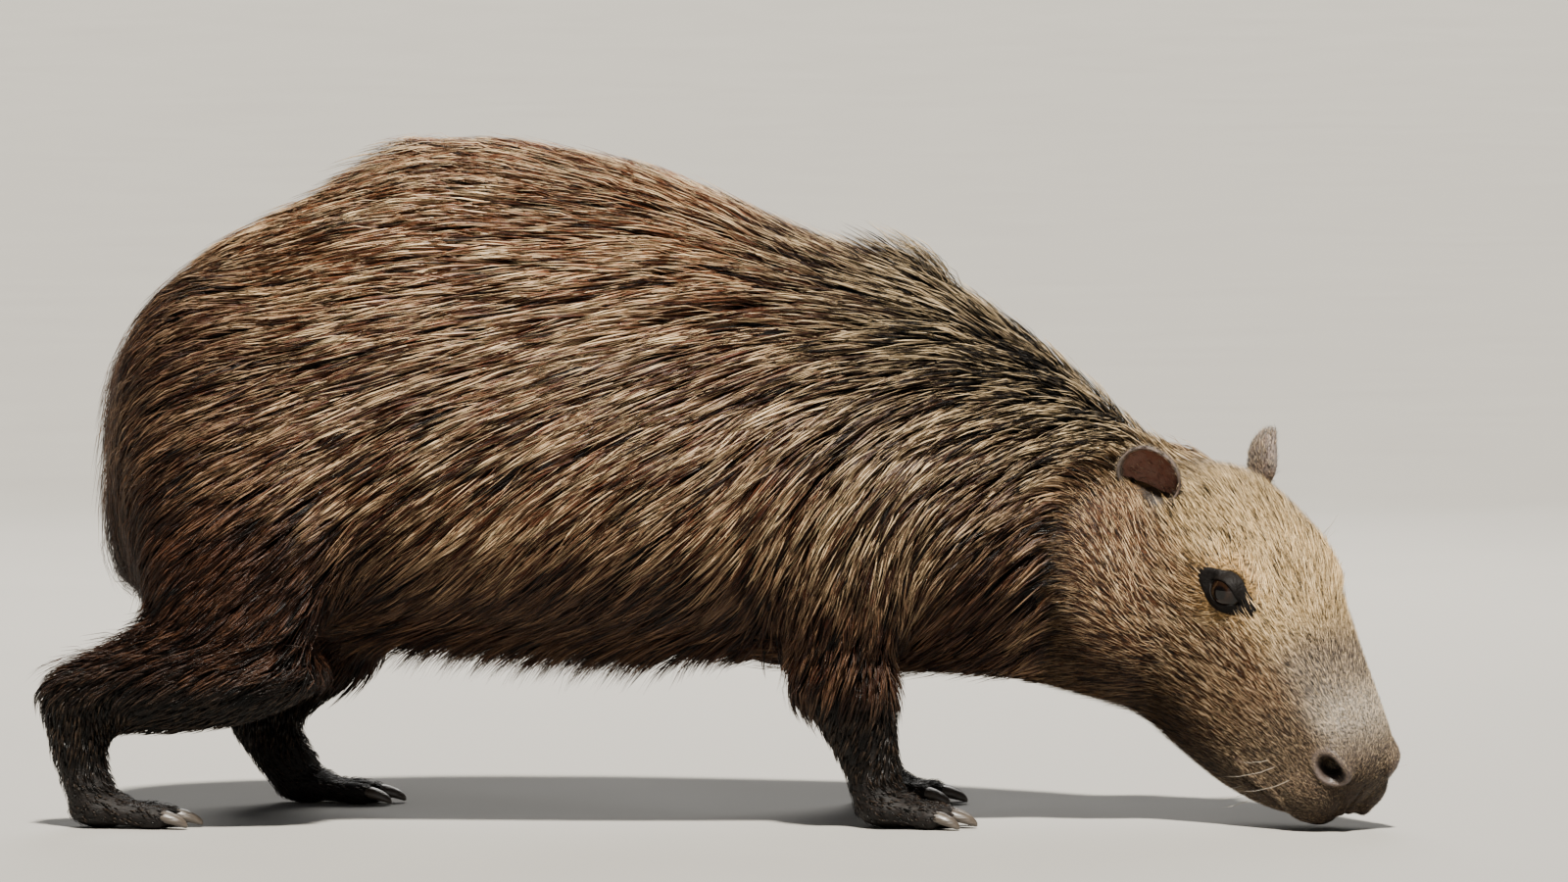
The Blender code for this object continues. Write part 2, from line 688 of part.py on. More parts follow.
def spread_roots(places, ways, shares, count):
    """Picks roots one by one, each where the coat is barest for the size of lock that fits there."""
    places = numpy.array([tuple(place) for place in places])
    ways = numpy.array([tuple(way) for way in ways])
    shares = numpy.array(shares)
    bare = numpy.full(len(places), 1000.0)
    picked = []
    for _ in range(count):
        picked.append(int(bare.argmax()))
        step = places - places[picked[-1]]
        along = (step * ways[picked[-1]]).sum(axis=1)
        spread = (step ** 2).sum(axis=1) - along ** 2 * (1 - LOCK_CLOSER ** 2)
        bare = numpy.minimum(bare, spread / shares ** 1.5)
    return picked


def lock_path(tree, root, way, length, turn):
    """Places, surface normals and ways along a lock that follows the surface."""
    point, normal = tree.find_nearest(root)[:2]
    path = []
    hangs = False
    at = 0.0
    for t, _, _, _ in LOCK_SHAPE + ((1.0, 0, 0, 0),):
        ahead = point + way * length * (t - at)
        at = t
        if not hangs:
            near, near_normal = tree.find_nearest(ahead)[:2]
            hangs = near_normal.z < FRINGE_TURN and t > 0 and FRINGE[0] < near.x < FRINGE[1]
        point = ahead if hangs else near
        normal = normal if hangs else near_normal
        path.append((point, normal, way))
        lie = flattened(lie_of(point), normal)
        lie = Matrix.Rotation(turn * t, 3, normal) @ lie
        if hangs:
            lie = (way + Vector((0, 0, -0.35))).normalized()
        way = flattened(way.lerp(lie, 0.6), normal)
    return path


def make_lock(tree, path, size, width, rise, lean):
    """A flat, tapered lock along a path, with a low ridge on it and its root in the core."""
    bm = bmesh.new()
    rows = []
    flat = 0.4 + 0.6 * size
    for (point, normal, way), (t, share, height, thick) in zip(path, LOCK_SHAPE):
        aside = way.cross(normal)
        lift = height * flat + rise * t * t
        thick *= flat
        row = []
        for sign in (-1, 0, 1):
            place = point + aside * sign * width * share / 2
            near, near_normal = tree.find_nearest(place)[:2]
            if (near - place).length < width * 0.3:
                place = near if sign else point
            over = lift + (thick if sign == 0 else lean * sign * t)
            row.append(bm.verts.new(place + normal * over))
        rows.append(row)
    point, normal, way = path[-1]
    tip = bm.verts.new(point + normal * (TIP_HEIGHT * flat + rise))
    for row, after in zip(rows, rows[1:]):
        for i in range(3):
            j = (i + 1) % 3
            bm.faces.new((row[i], row[j], after[j], after[i]))
    bm.faces.new(rows[0])
    for i in range(3):
        bm.faces.new((rows[-1][i], rows[-1][(i + 1) % 3], tip))
    bmesh.ops.triangulate(bm, faces=bm.faces)
    bmesh.ops.recalc_face_normals(bm, faces=bm.faces)
    object_from(bm, "lock", LOCKS)


def grow_locks(whole, fine, cuts):
    """Locks all over the long coat, each kept within the piece that its root is in."""
    draw = random.Random(SEED)
    tree = BVHTree.FromObject(fine, bpy.context.evaluated_depsgraph_get())
    pool = [vert for vert in fine.data.vertices if carries_locks(vert.co, vert.normal, cuts)]
    pool = draw.sample(pool, LOCK_POOL)
    length = sum(LOCK_LENGTH) / 2
    roots = []
    for vert in pool:
        way = flattened(lie_of(vert.co), vert.normal)
        share = fitting_path(tree, vert.co, way, length, 0.0, cuts)[1]
        if share:
            roots.append((vert.co.copy(), way, share))
    picked = spread_roots(*zip(*roots), LOCK_COUNT)
    roots = [(roots[i][0], roots[i][1], 1.0, 1.0, 0.0) for i in picked]
    for x, count, spacing, stand in TUFTS:
        for i in range(count):
            y = (i - (count - 1) / 2) * spacing - NAPE_TURN * ramp(x, 0.18, 0.36)
            above = Vector((x + draw.uniform(-TUFT_SHIFT, TUFT_SHIFT), y, 1.0))
            place, normal = tree.ray_cast(above, Vector((0, 0, -1)))[:2]
            roots.append((place, flattened(Vector((-1, 0, 0)), normal), *TUFT_SIZE, stand))
    for side in (RIGHT, LEFT):
        for i in range(FRINGE_COUNT):
            x = FRINGE[0] + (FRINGE[1] - FRINGE[0]) * (i + draw.uniform(0.3, 0.7)) / FRINGE_COUNT
            beside = Vector((x, side, FRINGE_ROOT + draw.uniform(-0.008, 0.008)))
            place, normal = tree.ray_cast(beside, Vector((0, -side, 0)))[:2]
            roots.append((place, flattened(lie_of(place), normal), *FRINGE_SIZE, 0.0))
    for place, way, long, wide, stand in roots:
        length = long * draw.uniform(*LOCK_LENGTH)
        width = wide * draw.uniform(*LOCK_WIDTH)
        turn = draw.uniform(-LOCK_BEND, LOCK_BEND)
        rise = draw.uniform(-0.0015, 0.0025) + stand
        lean = draw.uniform(-0.0015, 0.0015)
        way = Matrix.Rotation(turn / 2, 3, tree.find_nearest(place)[1]) @ way
        path, share = fitting_path(tree, place, way, length, turn, cuts)
        if path:
            make_lock(tree, path, share, width * share, rise * share, lean)
    combine_all(whole, LOCKS)
    thin_out(whole, LOCKS_KEPT)
    remove(fine)


def grown(obj, name, by):
    """A copy whose surface stands out by the given distance."""
    copy = copy_of(obj, name, CUTTERS)
    normals = [vert.normal.copy() for vert in copy.data.vertices]
    for vert, normal in zip(copy.data.vertices, normals):
        vert.co += normal * by
    copy.hide_render = True
    copy.display_type = "WIRE"
    return copy


def seat(piece, on, gap=GAP):
    """Cuts a piece back to just above the surface that it grows from."""
    cutter = grown(on, on.name + "_seat", gap)
    combine(piece, cutter, "DIFFERENCE")
    keep_largest(piece)
    remove(cutter)


def skin_point(obj, inside, out):
    """Where a line out from a point inside leaves the surface."""
    tree = BVHTree.FromObject(obj, bpy.context.evaluated_depsgraph_get())
    return tree.ray_cast(inside + out * 0.1, -out)[0]


def make_ears(head, nodes):
    """Small rounded ears, laid back, each with its cup facing out to the side."""
    for side, name in ((RIGHT, "ear_right"), (LEFT, "ear_left")):
        root = in_head(*EAR_ROOT, side)
        way = (in_head(*(a + b for a, b in zip(EAR_ROOT, EAR_TIP_WAY)), side) - root).normalized()
        facing = (in_head(*EAR_FACING, side) - in_head(0, 0, 0, side)).normalized()
        facing = (facing - way * facing.dot(way)).normalized()
        axes = (way, facing.cross(way), facing)
        half = EAR_LENGTH / 2
        ear = blob(root + way * (half - 0.006), axes, (half, 0.025, 0.013), name, None, 18, 8)
        cup = blob(root + way * (half + 0.001) + facing * 0.0085, axes, (half - 0.007, 0.019, 0.0135),
                   name + "_cup", CUTTERS, 16, 6)
        cup.hide_render = True
        cup.display_type = "WIRE"
        combine(ear, cup, "DIFFERENCE")
        seat(ear, head)
        seat(ear, nodes["neck"], 4 * GAP)
        nodes[name] = ear


def make_eyes(head, nodes):
    """Eyeballs in sockets, with an upper and a lower lid as one thick rim."""
    for side, name in ((RIGHT, "eye_right"), (LEFT, "eye_left")):
        out = (in_head(*EYE_WAY, side) - in_head(0, 0, 0, side)).normalized()
        centre = skin_point(head, in_head(*EYE_PLACE, 0.05, side), out) - out * EYE_SINK
        long_axis = AHEAD * math.cos(EYE_TURN) - BELOW * math.sin(EYE_TURN)
        long_axis = (long_axis - out * long_axis.dot(out)).normalized()
        axes = (long_axis, out.cross(long_axis), out)
        bm = bmesh.new()
        rim = [ring(Vector((0, 0, 0)), Vector((1, 0, 0)), Vector((0, 1, 0)), 1, 1, 1, 2, 2, 20)]
        rows = []
        for point in rim[0]:
            middle = Vector((point.x * LID_REACH[0], point.y * LID_REACH[1], LID_HEIGHT))
            outward = Vector((point.x, point.y, 0)).normalized()
            rows.append([middle + outward * LID_RADIUS * math.cos(a) + Vector((0, 0, LID_RADIUS * math.sin(a)))
                         for a in [2 * math.pi * k / 6 for k in range(6)]])
        verts = [[bm.verts.new(point) for point in row] for row in rows]
        for i, row in enumerate(verts):
            after = verts[(i + 1) % len(verts)]
            for k in range(6):
                j = (k + 1) % 6
                bm.faces.new((row[k], row[j], after[j], after[k]))
        turn = Matrix(axes).transposed().to_4x4()
        bmesh.ops.transform(bm, matrix=Matrix.Translation(centre) @ turn, verts=bm.verts)
        bmesh.ops.recalc_face_normals(bm, faces=bm.faces)
        lids = object_from(bm, name + "_lids", CUTTERS)
        lids.hide_render = True
        combine(head, lids, "UNION")
        keep_largest(head)
        socket = blob(centre, axes, [EYE_RADIUS + GAP] * 3, name + "_socket", CUTTERS, 16, 10)
        socket.hide_render = True
        combine(head, socket, "DIFFERENCE")
        keep_largest(head)
        nodes[name] = blob(centre, axes, [EYE_RADIUS] * 3, name, None, 16, 10)
        remove(lids, socket)


def make_nostrils(head):
    for side in (RIGHT, LEFT):
        out = (in_head(*NOSTRIL_WAY, side) - in_head(0, 0, 0, side)).normalized()
        centre = skin_point(head, in_head(*NOSTRIL_PLACE, side), out) - out * 0.002
        long_axis = in_head(-0.35, 0.10, 0.8, side) - in_head(0, 0, 0, side)
        long_axis = (long_axis - out * long_axis.dot(out)).normalized()
        axes = (long_axis, out.cross(long_axis), out)
        hole = blob(centre, axes, NOSTRIL_RADII, "nostril_cut", CUTTERS, 12, 8)
        hole.hide_render = True
        combine(head, hole, "DIFFERENCE")
        keep_largest(head)
        remove(hole)


def tube(points, radius, name, sides=6):
    """A closed tube of few sides through the points."""
    rings = []
    for i, point in enumerate(points):
        way = (points[min(i + 1, len(points) - 1)] - points[max(i - 1, 0)]).normalized()
        up = (-BELOW - way * -BELOW.dot(way)).normalized()
        rings.append(ring(point, way.cross(up), up, radius, radius, radius, 2, 2, sides))
    obj = loft(rings, name, CUTTERS)
    obj.hide_render = True
    return obj


def make_mouth(head):
    """The line of the mouth round the muzzle, under a full upper lip, and the cleft below the nose."""
    tree = BVHTree.FromObject(head, bpy.context.evaluated_depsgraph_get())
    line = []
    count = 14
    for i in range(count + 1):
        t = i / count * 2 - 1
        bow = math.cos(t * math.pi / 2) ** 0.8
        ahead = MOUTH_CORNER[0] + (MOUTH_FRONT[0] - MOUTH_CORNER[0]) * bow
        below = MOUTH_CORNER[1] + (MOUTH_FRONT[1] - MOUTH_CORNER[1]) * bow
        aside = MOUTH_CORNER[2] * math.sin(t * math.pi / 2)
        line.append(tree.find_nearest(in_head(ahead, below, aside))[0])
    lip = tube([point - BELOW * 0.0045 for point in line], 0.0040, "lip_ridge")
    combine(head, lip, "UNION")
    keep_largest(head)
    groove = tube(line, 0.0019, "mouth_cut")
    combine(head, groove, "DIFFERENCE")
    keep_largest(head)
    remove(lip, groove)


def make_claws(nodes):
    """Blunt, hoof-like claws, seated on the toes' ends just above the ground."""
    for foot, side, heel, toes in foot_places():
        for i, (reach, spread) in enumerate(toes):
            name = foot.replace("foot", "claw") + "_" + str(i + 1)
            root = heel + Vector((0.006, spread * 0.55, 0.000))
            tip = heel + Vector((reach, spread, -0.006))
            way = (tip - root).normalized()
            aside = Vector((0, 0, 1)).cross(way).normalized()
            up = way.cross(aside)
            rings = []
            for t, width, lift, drop in ((-0.55, 0.62, 0.5, 0.002), (0.0, 0.80, 0.62, 0.001),
                                         (0.5, 0.66, 0.52, -0.0005), (0.85, 0.36, 0.34, -0.0025)):
                centre = tip + way * CLAW_LENGTH * t + Vector((0, 0, drop - 0.0005))
                rings.append(ring(centre, aside, up, TOE_RADIUS * width, TOE_RADIUS * lift,
                                  TOE_RADIUS * lift * 0.6, 2, 2, 6))
            claw = loft(rings, name)
            seat(claw, nodes[foot])
            nodes[name] = claw


def finish(nodes):
    """Materials, smooth shading, and one parent at the origin."""
    materials = {name: make_material(name) for name in COLOURS}
    root = bpy.data.objects.new("capybara_origin", None)
    PARTS.objects.link(root)
    for name, obj in nodes.items():
        kind = "coat"
        if "claw" in name:
            kind = "claw"
        elif name.startswith(("shank", "forearm", "hind_foot", "fore_foot")):
            kind = "leg"
        elif name.startswith("eye"):
            kind = "eye"
        elif name.startswith("ear"):
            kind = "ear"
        elif name == "head":
            kind = "face"
        obj.name = name
        obj.data.name = name
        obj.data.materials.clear()
        obj.data.materials.append(materials[kind])
        obj.data.shade_smooth()
        obj.data.set_sharp_from_angle(angle=math.radians(50))
        obj.parent = root


clear_scene()
PARTS = make_collection("capybara")
CUTTERS = make_collection("cutters")
LOCKS = make_collection("locks")
AHEAD, BELOW, HEAD_RIGHT = head_axes()

body, body_surface = whole_animal()
pieces_cut = seams()
grow_locks(body, body_surface, pieces_cut)
flatten_soles(body)
parts = {}
for name, *cut in pieces_cut:
    parts[name] = part_off(body, name, *cut)
parts["torso"] = body
make_ears(parts["head"], parts)
make_eyes(parts["head"], parts)
make_nostrils(parts["head"])
make_mouth(parts["head"])
make_claws(parts)
finish(parts)
print(len(parts), "pieces,", sum(len(obj.data.polygons) for obj in parts.values()), "triangles")
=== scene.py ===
# %% [markdown]
# # A wet capybara, nose to the ground
# The solid model gives the size, the pose and the floor. Over it goes what makes the animal look
# alive: one smooth skin from head to toes, eyes with lids, ears, claws and whiskers, and a coat of
# tens of thousands of small solid tufts that lie along the body as the real bristles do.

# %% Load the solid model
import json
import math

import bmesh
import bpy
import numpy as np
from mathutils import Matrix, Vector
from mathutils.bvhtree import BVHTree
from mathutils.kdtree import KDTree

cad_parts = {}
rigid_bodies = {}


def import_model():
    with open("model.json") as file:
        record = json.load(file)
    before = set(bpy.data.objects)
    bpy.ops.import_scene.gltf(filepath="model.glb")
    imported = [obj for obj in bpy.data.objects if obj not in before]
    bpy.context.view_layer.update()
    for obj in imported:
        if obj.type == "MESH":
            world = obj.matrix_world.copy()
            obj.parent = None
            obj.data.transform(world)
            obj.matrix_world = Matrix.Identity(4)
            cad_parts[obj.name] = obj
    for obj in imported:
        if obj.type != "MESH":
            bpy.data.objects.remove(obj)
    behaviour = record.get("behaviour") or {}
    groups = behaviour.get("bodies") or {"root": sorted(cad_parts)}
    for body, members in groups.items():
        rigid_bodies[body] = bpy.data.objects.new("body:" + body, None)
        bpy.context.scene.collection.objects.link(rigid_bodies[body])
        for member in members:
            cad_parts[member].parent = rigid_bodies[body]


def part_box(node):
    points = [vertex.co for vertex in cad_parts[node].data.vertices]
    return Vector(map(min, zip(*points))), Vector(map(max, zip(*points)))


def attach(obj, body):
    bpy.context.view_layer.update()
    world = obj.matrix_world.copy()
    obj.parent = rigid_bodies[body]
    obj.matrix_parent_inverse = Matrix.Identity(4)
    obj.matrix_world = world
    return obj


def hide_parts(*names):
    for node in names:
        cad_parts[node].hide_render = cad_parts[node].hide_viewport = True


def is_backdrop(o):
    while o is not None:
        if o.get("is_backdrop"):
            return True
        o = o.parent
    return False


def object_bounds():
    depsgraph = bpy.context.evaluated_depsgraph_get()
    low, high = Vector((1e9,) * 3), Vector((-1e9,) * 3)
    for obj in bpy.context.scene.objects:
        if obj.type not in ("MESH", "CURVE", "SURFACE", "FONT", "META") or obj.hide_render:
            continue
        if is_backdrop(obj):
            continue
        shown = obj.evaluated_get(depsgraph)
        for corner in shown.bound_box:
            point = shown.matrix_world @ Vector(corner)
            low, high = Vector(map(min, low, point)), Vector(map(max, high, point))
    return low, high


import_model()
cad_box = [list(corner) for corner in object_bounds()]
print("solid model from", cad_box[0], "to", cad_box[1])

# %% [markdown]
# ## Small helpers
# A mesh begins as a bmesh and becomes an object at the origin. `settle` applies live modifiers, so
# that each step works on the mesh that the step before has left. `ramp` is a smooth switch between
# two values, and works on single numbers and on whole arrays alike.

# %% Helpers
RIGHT, LEFT = -1, 1  # sides, as signs of y


def to_object(bm, name):
    mesh = bpy.data.meshes.new(name)
    bm.to_mesh(mesh)
    bm.free()
    obj = bpy.data.objects.new(name, mesh)
    bpy.context.scene.collection.objects.link(obj)
    return obj


def settle(obj):
    bpy.context.view_layer.update()
    graph = bpy.context.evaluated_depsgraph_get()
    mesh = bpy.data.meshes.new_from_object(obj.evaluated_get(graph))
    obj.modifiers.clear()
    obj.data = mesh
    mesh.name = obj.name


def ramp(value, low, high):
    t = np.clip((value - low) / (high - low), 0.0, 1.0)
    return t * t * (3 - 2 * t)


def unit(vectors):
    return vectors / np.maximum(np.linalg.norm(vectors, axis=-1, keepdims=True), 1e-9)


def read(mesh, what="co"):
    values = np.empty(len(mesh.vertices) * 3, dtype=np.float32)
    mesh.vertices.foreach_get(what, values)
    return values.reshape(-1, 3).astype(float)


def write(mesh, places):
    mesh.vertices.foreach_set("co", places.astype(np.float32).ravel())
    mesh.update()


print("helpers ready")

# %% [markdown]
# ## The body's stations
# A sculptor would start with an armature. Here it is a list of stations: at each one the height of
# the back and belly and the width are known, and a loft joins them. The same stations shape the
# solid model, so the skin fits inside it everywhere.

# %% Stations of torso, neck and head
TORSO = (  # place along x, height of the back and of the belly, half width
    (-0.502, 0.345, 0.235, 0.035),
    (-0.496, 0.368, 0.205, 0.070),
    (-0.482, 0.402, 0.185, 0.105),
    (-0.455, 0.436, 0.175, 0.133),
    (-0.404, 0.475, 0.160, 0.155),
    (-0.348, 0.504, 0.148, 0.168),
    (-0.292, 0.531, 0.142, 0.177),
    (-0.240, 0.552, 0.140, 0.182),
    (-0.188, 0.557, 0.137, 0.186),
    (-0.124, 0.548, 0.132, 0.189),
    (-0.060, 0.535, 0.129, 0.190),
    (0.000, 0.512, 0.128, 0.186),
    (0.060, 0.487, 0.123, 0.178),
    (0.116, 0.467, 0.120, 0.168),
    (0.160, 0.454, 0.119, 0.157),
    (0.200, 0.437, 0.116, 0.144),
)
NECK = (  # place along x, turn towards the right, height of top and throat, half width
    (0.150, 0.000, 0.452, 0.125, 0.150),
    (0.200, 0.002, 0.437, 0.116, 0.142),
    (0.252, 0.010, 0.402, 0.109, 0.126),
    (0.292, 0.018, 0.372, 0.101, 0.110),
    (0.332, 0.028, 0.338, 0.090, 0.091),
    (0.358, 0.036, 0.314, 0.100, 0.074),
)
HEAD = (  # place ahead of the ears, depth of top, widest level and jaw, half width, squareness
    (-0.075, 0.020, 0.080, 0.140, 0.055, 2.0, 2.0),
    (-0.050, 0.000, 0.075, 0.160, 0.070, 2.1, 2.2),
    (-0.020, -0.012, 0.075, 0.172, 0.078, 2.4, 2.3),
    (0.010, -0.023, 0.077, 0.177, 0.081, 2.7, 2.3),
    (0.040, -0.031, 0.078, 0.179, 0.081, 2.9, 2.3),
    (0.070, -0.036, 0.077, 0.178, 0.078, 3.0, 2.4),
    (0.100, -0.035, 0.074, 0.174, 0.073, 3.0, 2.5),
    (0.130, -0.031, 0.070, 0.167, 0.066, 2.8, 2.6),
    (0.160, -0.026, 0.067, 0.158, 0.060, 2.7, 2.7),
    (0.190, -0.019, 0.064, 0.147, 0.055, 2.7, 2.8),
    (0.220, -0.011, 0.060, 0.130, 0.051, 2.8, 2.9),
    (0.245, -0.003, 0.057, 0.111, 0.048, 2.9, 2.9),
    (0.262, 0.007, 0.055, 0.092, 0.043, 2.8, 2.8),
    (0.274, 0.021, 0.055, 0.078, 0.033, 2.5, 2.5),
    (0.280, 0.040, 0.056, 0.070, 0.016, 2.2, 2.2),
)
HEAD_PLACE = Vector((0.405, -0.060, 0.269))  # midway between the roots of the ears
HEAD_YAW = math.radians(42)  # towards the animal's right
HEAD_PITCH = math.radians(50)  # nose down
HEAD_ROLL = math.radians(6)  # the right side lower
print(len(TORSO), "torso,", len(NECK), "neck and", len(HEAD), "head stations")

# %% Stations of the legs
# x, distance from the middle, height, half depth fore and aft, half width
NEAR_THIGH = (
    (-0.375, 0.050, 0.425, 0.080, 0.050),
    (-0.380, 0.082, 0.370, 0.108, 0.076),
    (-0.377, 0.104, 0.300, 0.114, 0.076),
    (-0.378, 0.114, 0.235, 0.102, 0.068),
    (-0.376, 0.121, 0.185, 0.088, 0.058),
    (-0.360, 0.126, 0.145, 0.066, 0.048),
)
NEAR_SHANK = (
    (-0.325, 0.124, 0.158, 0.046, 0.040),
    (-0.385, 0.127, 0.142, 0.057, 0.045),
    (-0.440, 0.125, 0.128, 0.053, 0.040),
    (-0.485, 0.121, 0.117, 0.043, 0.033),
    (-0.522, 0.118, 0.110, 0.031, 0.027),
)
NEAR_METATARSUS = (
    (-0.519, 0.118, 0.128, 0.024, 0.022),
    (-0.521, 0.118, 0.108, 0.030, 0.026),
    (-0.518, 0.117, 0.075, 0.026, 0.023),
    (-0.513, 0.116, 0.045, 0.023, 0.022),
    (-0.504, 0.115, 0.020, 0.024, 0.027),
)
FAR_THIGH = (
    (-0.340, 0.050, 0.425, 0.080, 0.050),
    (-0.338, 0.082, 0.370, 0.105, 0.076),
    (-0.325, 0.104, 0.305, 0.106, 0.076),
    (-0.312, 0.114, 0.245, 0.092, 0.066),
    (-0.302, 0.121, 0.200, 0.072, 0.054),
)
FAR_SHANK = (
    (-0.285, 0.122, 0.215, 0.050, 0.044),
    (-0.312, 0.122, 0.165, 0.052, 0.042),
    (-0.345, 0.120, 0.122, 0.044, 0.036),
    (-0.372, 0.118, 0.088, 0.033, 0.030),
    (-0.380, 0.118, 0.070, 0.026, 0.025),
)
FAR_METATARSUS = (
    (-0.390, 0.118, 0.092, 0.022, 0.022),
    (-0.380, 0.118, 0.072, 0.029, 0.026),
    (-0.366, 0.118, 0.044, 0.026, 0.024),
    (-0.348, 0.118, 0.020, 0.025, 0.028),
)
UPPER_ARM = (
    (0.105, 0.050, 0.400, 0.060, 0.045),
    (0.105, 0.088, 0.340, 0.080, 0.064),
    (0.102, 0.108, 0.270, 0.082, 0.062),
    (0.098, 0.117, 0.200, 0.066, 0.052),
    (0.098, 0.119, 0.150, 0.052, 0.042),
)
FOREARM = (
    (0.096, 0.119, 0.165, 0.052, 0.040),
    (0.099, 0.119, 0.130, 0.046, 0.036),
    (0.111, 0.118, 0.092, 0.035, 0.029),
    (0.120, 0.117, 0.060, 0.0265, 0.025),
    (0.125, 0.116, 0.036, 0.024, 0.024),
    (0.131, 0.116, 0.018, 0.026, 0.028),
)
LEGS = (
    (RIGHT, (NEAR_THIGH, NEAR_SHANK, NEAR_METATARSUS, UPPER_ARM, FOREARM)),
    (LEFT, (FAR_THIGH, FAR_SHANK, FAR_METATARSUS, UPPER_ARM, FOREARM)),
)
TOE_RADIUS = 0.0095
HIND_TOES = ((0.058, -0.023), (0.069, 0.000), (0.056, 0.023))  # reach ahead and spread
FORE_TOES = ((0.044, -0.029), (0.058, -0.010), (0.057, 0.010), (0.042, 0.029))
FEET = (
    ("hind_foot_right", Vector((-0.502, -0.115, 0.0135)), HIND_TOES),
    ("hind_foot_left", Vector((-0.346, 0.118, 0.0135)), HIND_TOES),
    ("fore_foot_right", Vector((0.134, -0.116, 0.0135)), FORE_TOES),
    ("fore_foot_left", Vector((0.130, 0.116, 0.0135)), FORE_TOES),
)
print(len(LEGS), "sides,", len(FEET), "feet")

# %% [markdown]
# ## The head's own directions
# The head turns towards the camera side, nods and rolls a little. Everything on it is placed in
# its own directions: ahead along the face, below through the jaw, and aside to the right.

# %% Directions of the head


def head_axes():
    cy, sy = math.cos(HEAD_YAW), math.sin(HEAD_YAW)
    cp, sp = math.cos(HEAD_PITCH), math.sin(HEAD_PITCH)
    ahead = Vector((cy * cp, -sy * cp, -sp))
    below = Vector((-cy * sp, sy * sp, -cp))
    right = Vector((-sy, -cy, 0))
    roll = Matrix.Rotation(HEAD_ROLL, 3, ahead)
    return ahead, roll @ below, roll @ right


AHEAD, BELOW, HEAD_RIGHT = head_axes()
HEAD_FRAME = np.array([tuple(axis) for axis in (AHEAD, BELOW, HEAD_RIGHT)])


def in_head(ahead, below, aside, side=RIGHT):
    return HEAD_PLACE + AHEAD * ahead + BELOW * below - HEAD_RIGHT * aside * side


def head_way(ahead, below, aside, side=RIGHT):
    return (AHEAD * ahead + BELOW * below - HEAD_RIGHT * aside * side).normalized()


def from_head(points):
    """Arrays of how far ahead, below and aside, to the right, each point lies on the head."""
    return ((points - np.array(HEAD_PLACE)) @ HEAD_FRAME.T).T


print("the nose points to", [round(c, 2) for c in AHEAD])

# %% [markdown]
# ## Lofts
# A loft bridges one ring of points to the next, as an operator in the editor would. Each ring is
# a rounded section whose squareness can differ above and below, so one helper serves the deep
# jaw, the flat forehead, the barrel of the body and the legs. Rings between the stations follow a
# smooth curve, so the form flows.

# %% Sections and lofts


def eased(stations, steps=5):
    out = []
    last = len(stations) - 1
    rows = [np.array(station, dtype=float) for station in stations]
    for i in range(last):
        a, b, c, d = rows[max(i - 1, 0)], rows[i], rows[i + 1], rows[min(i + 2, last)]
        for k in range(steps):
            t = k / steps
            out.append(b + 0.5 * t * (c - a) + t * t * (a - 2.5 * b + 2 * c - 0.5 * d)
                       + t ** 3 * (1.5 * b - 0.5 * a - 1.5 * c + 0.5 * d))
    out.append(rows[-1])
    return out


def section(centre, side, up, half_width, rise, fall, power_up=2.2, power_down=2.2, count=36):
    points = []
    for i in range(count):
        angle = 2 * math.pi * i / count
        c, s = math.cos(angle), math.sin(angle)
        power = power_up if s > 0 else power_down
        across = math.copysign(abs(c) ** (2 / power), c) * half_width
        along = math.copysign(abs(s) ** (2 / power), s) * (rise if s > 0 else fall)
        points.append(centre + side * across + up * along)
    return points


def loft(rings):
    bm = bmesh.new()
    loops = []
    for points in rings:
        verts = [bm.verts.new(point) for point in points]
        loops.append([bm.edges.new(pair) for pair in zip(verts, verts[1:] + verts[:1])])
    for one, after in zip(loops, loops[1:]):
        bmesh.ops.bridge_loops(bm, edges=one + after)
    bmesh.ops.holes_fill(bm, edges=loops[0] + loops[-1], sides=0)
    bmesh.ops.recalc_face_normals(bm, faces=bm.faces)
    return bm


def ball(centre, axes, radii, segments=24, rings=14):
    bm = bmesh.new()
    bmesh.ops.create_uvsphere(bm, u_segments=segments, v_segments=rings, radius=1.0)
    turn = Matrix(axes).transposed().to_4x4() @ Matrix.Diagonal((*radii, 1.0))
    bmesh.ops.transform(bm, matrix=Matrix.Translation(centre) @ turn, verts=bm.verts)
    bmesh.ops.recalc_face_normals(bm, faces=bm.faces)
    return bm


LEVEL = (Vector((1, 0, 0)), Vector((0, 1, 0)), Vector((0, 0, 1)))


def level_loft(stations, power_up):
    rings = []
    for x, turn, top, bottom, half_width in eased(stations):
        middle = bottom + 0.46 * (top - bottom)
        rings.append(section(Vector((x, -turn, middle)), LEVEL[1], LEVEL[2], half_width,
                             top - middle, middle - bottom, power_up, 2.35))
    return loft(rings)


def leg_loft(stations, side):
    rows = eased([(x, side * y, z, depth, width) for x, y, z, depth, width in stations])
    rings = []
    for i, (x, y, z, depth, width) in enumerate(rows):
        before, after = rows[max(i - 1, 0)], rows[min(i + 1, len(rows) - 1)]
        way = Vector(after[:3] - before[:3]).normalized()
        aside = (LEVEL[1] - way * LEVEL[1].dot(way)).normalized()
        rings.append(section(Vector((x, y, z)), aside, way.cross(aside), width, depth, depth))
    return loft(rings)


def head_loft():
    rings = []
    for ahead, top, middle, bottom, half_width, square_up, square_down in eased(HEAD):
        rings.append(section(in_head(ahead, middle, 0), HEAD_RIGHT, -BELOW, half_width,
                             middle - top, bottom - middle, square_up, square_down))
    return loft(rings)


forms = [level_loft([(x, 0.0, top, bottom, half) for x, top, bottom, half in TORSO], 2.15),
         level_loft(NECK, 1.8), head_loft()]
for side, parts in LEGS:
    forms += [leg_loft(stations, side) for stations in parts]
print(len(forms), "lofts")

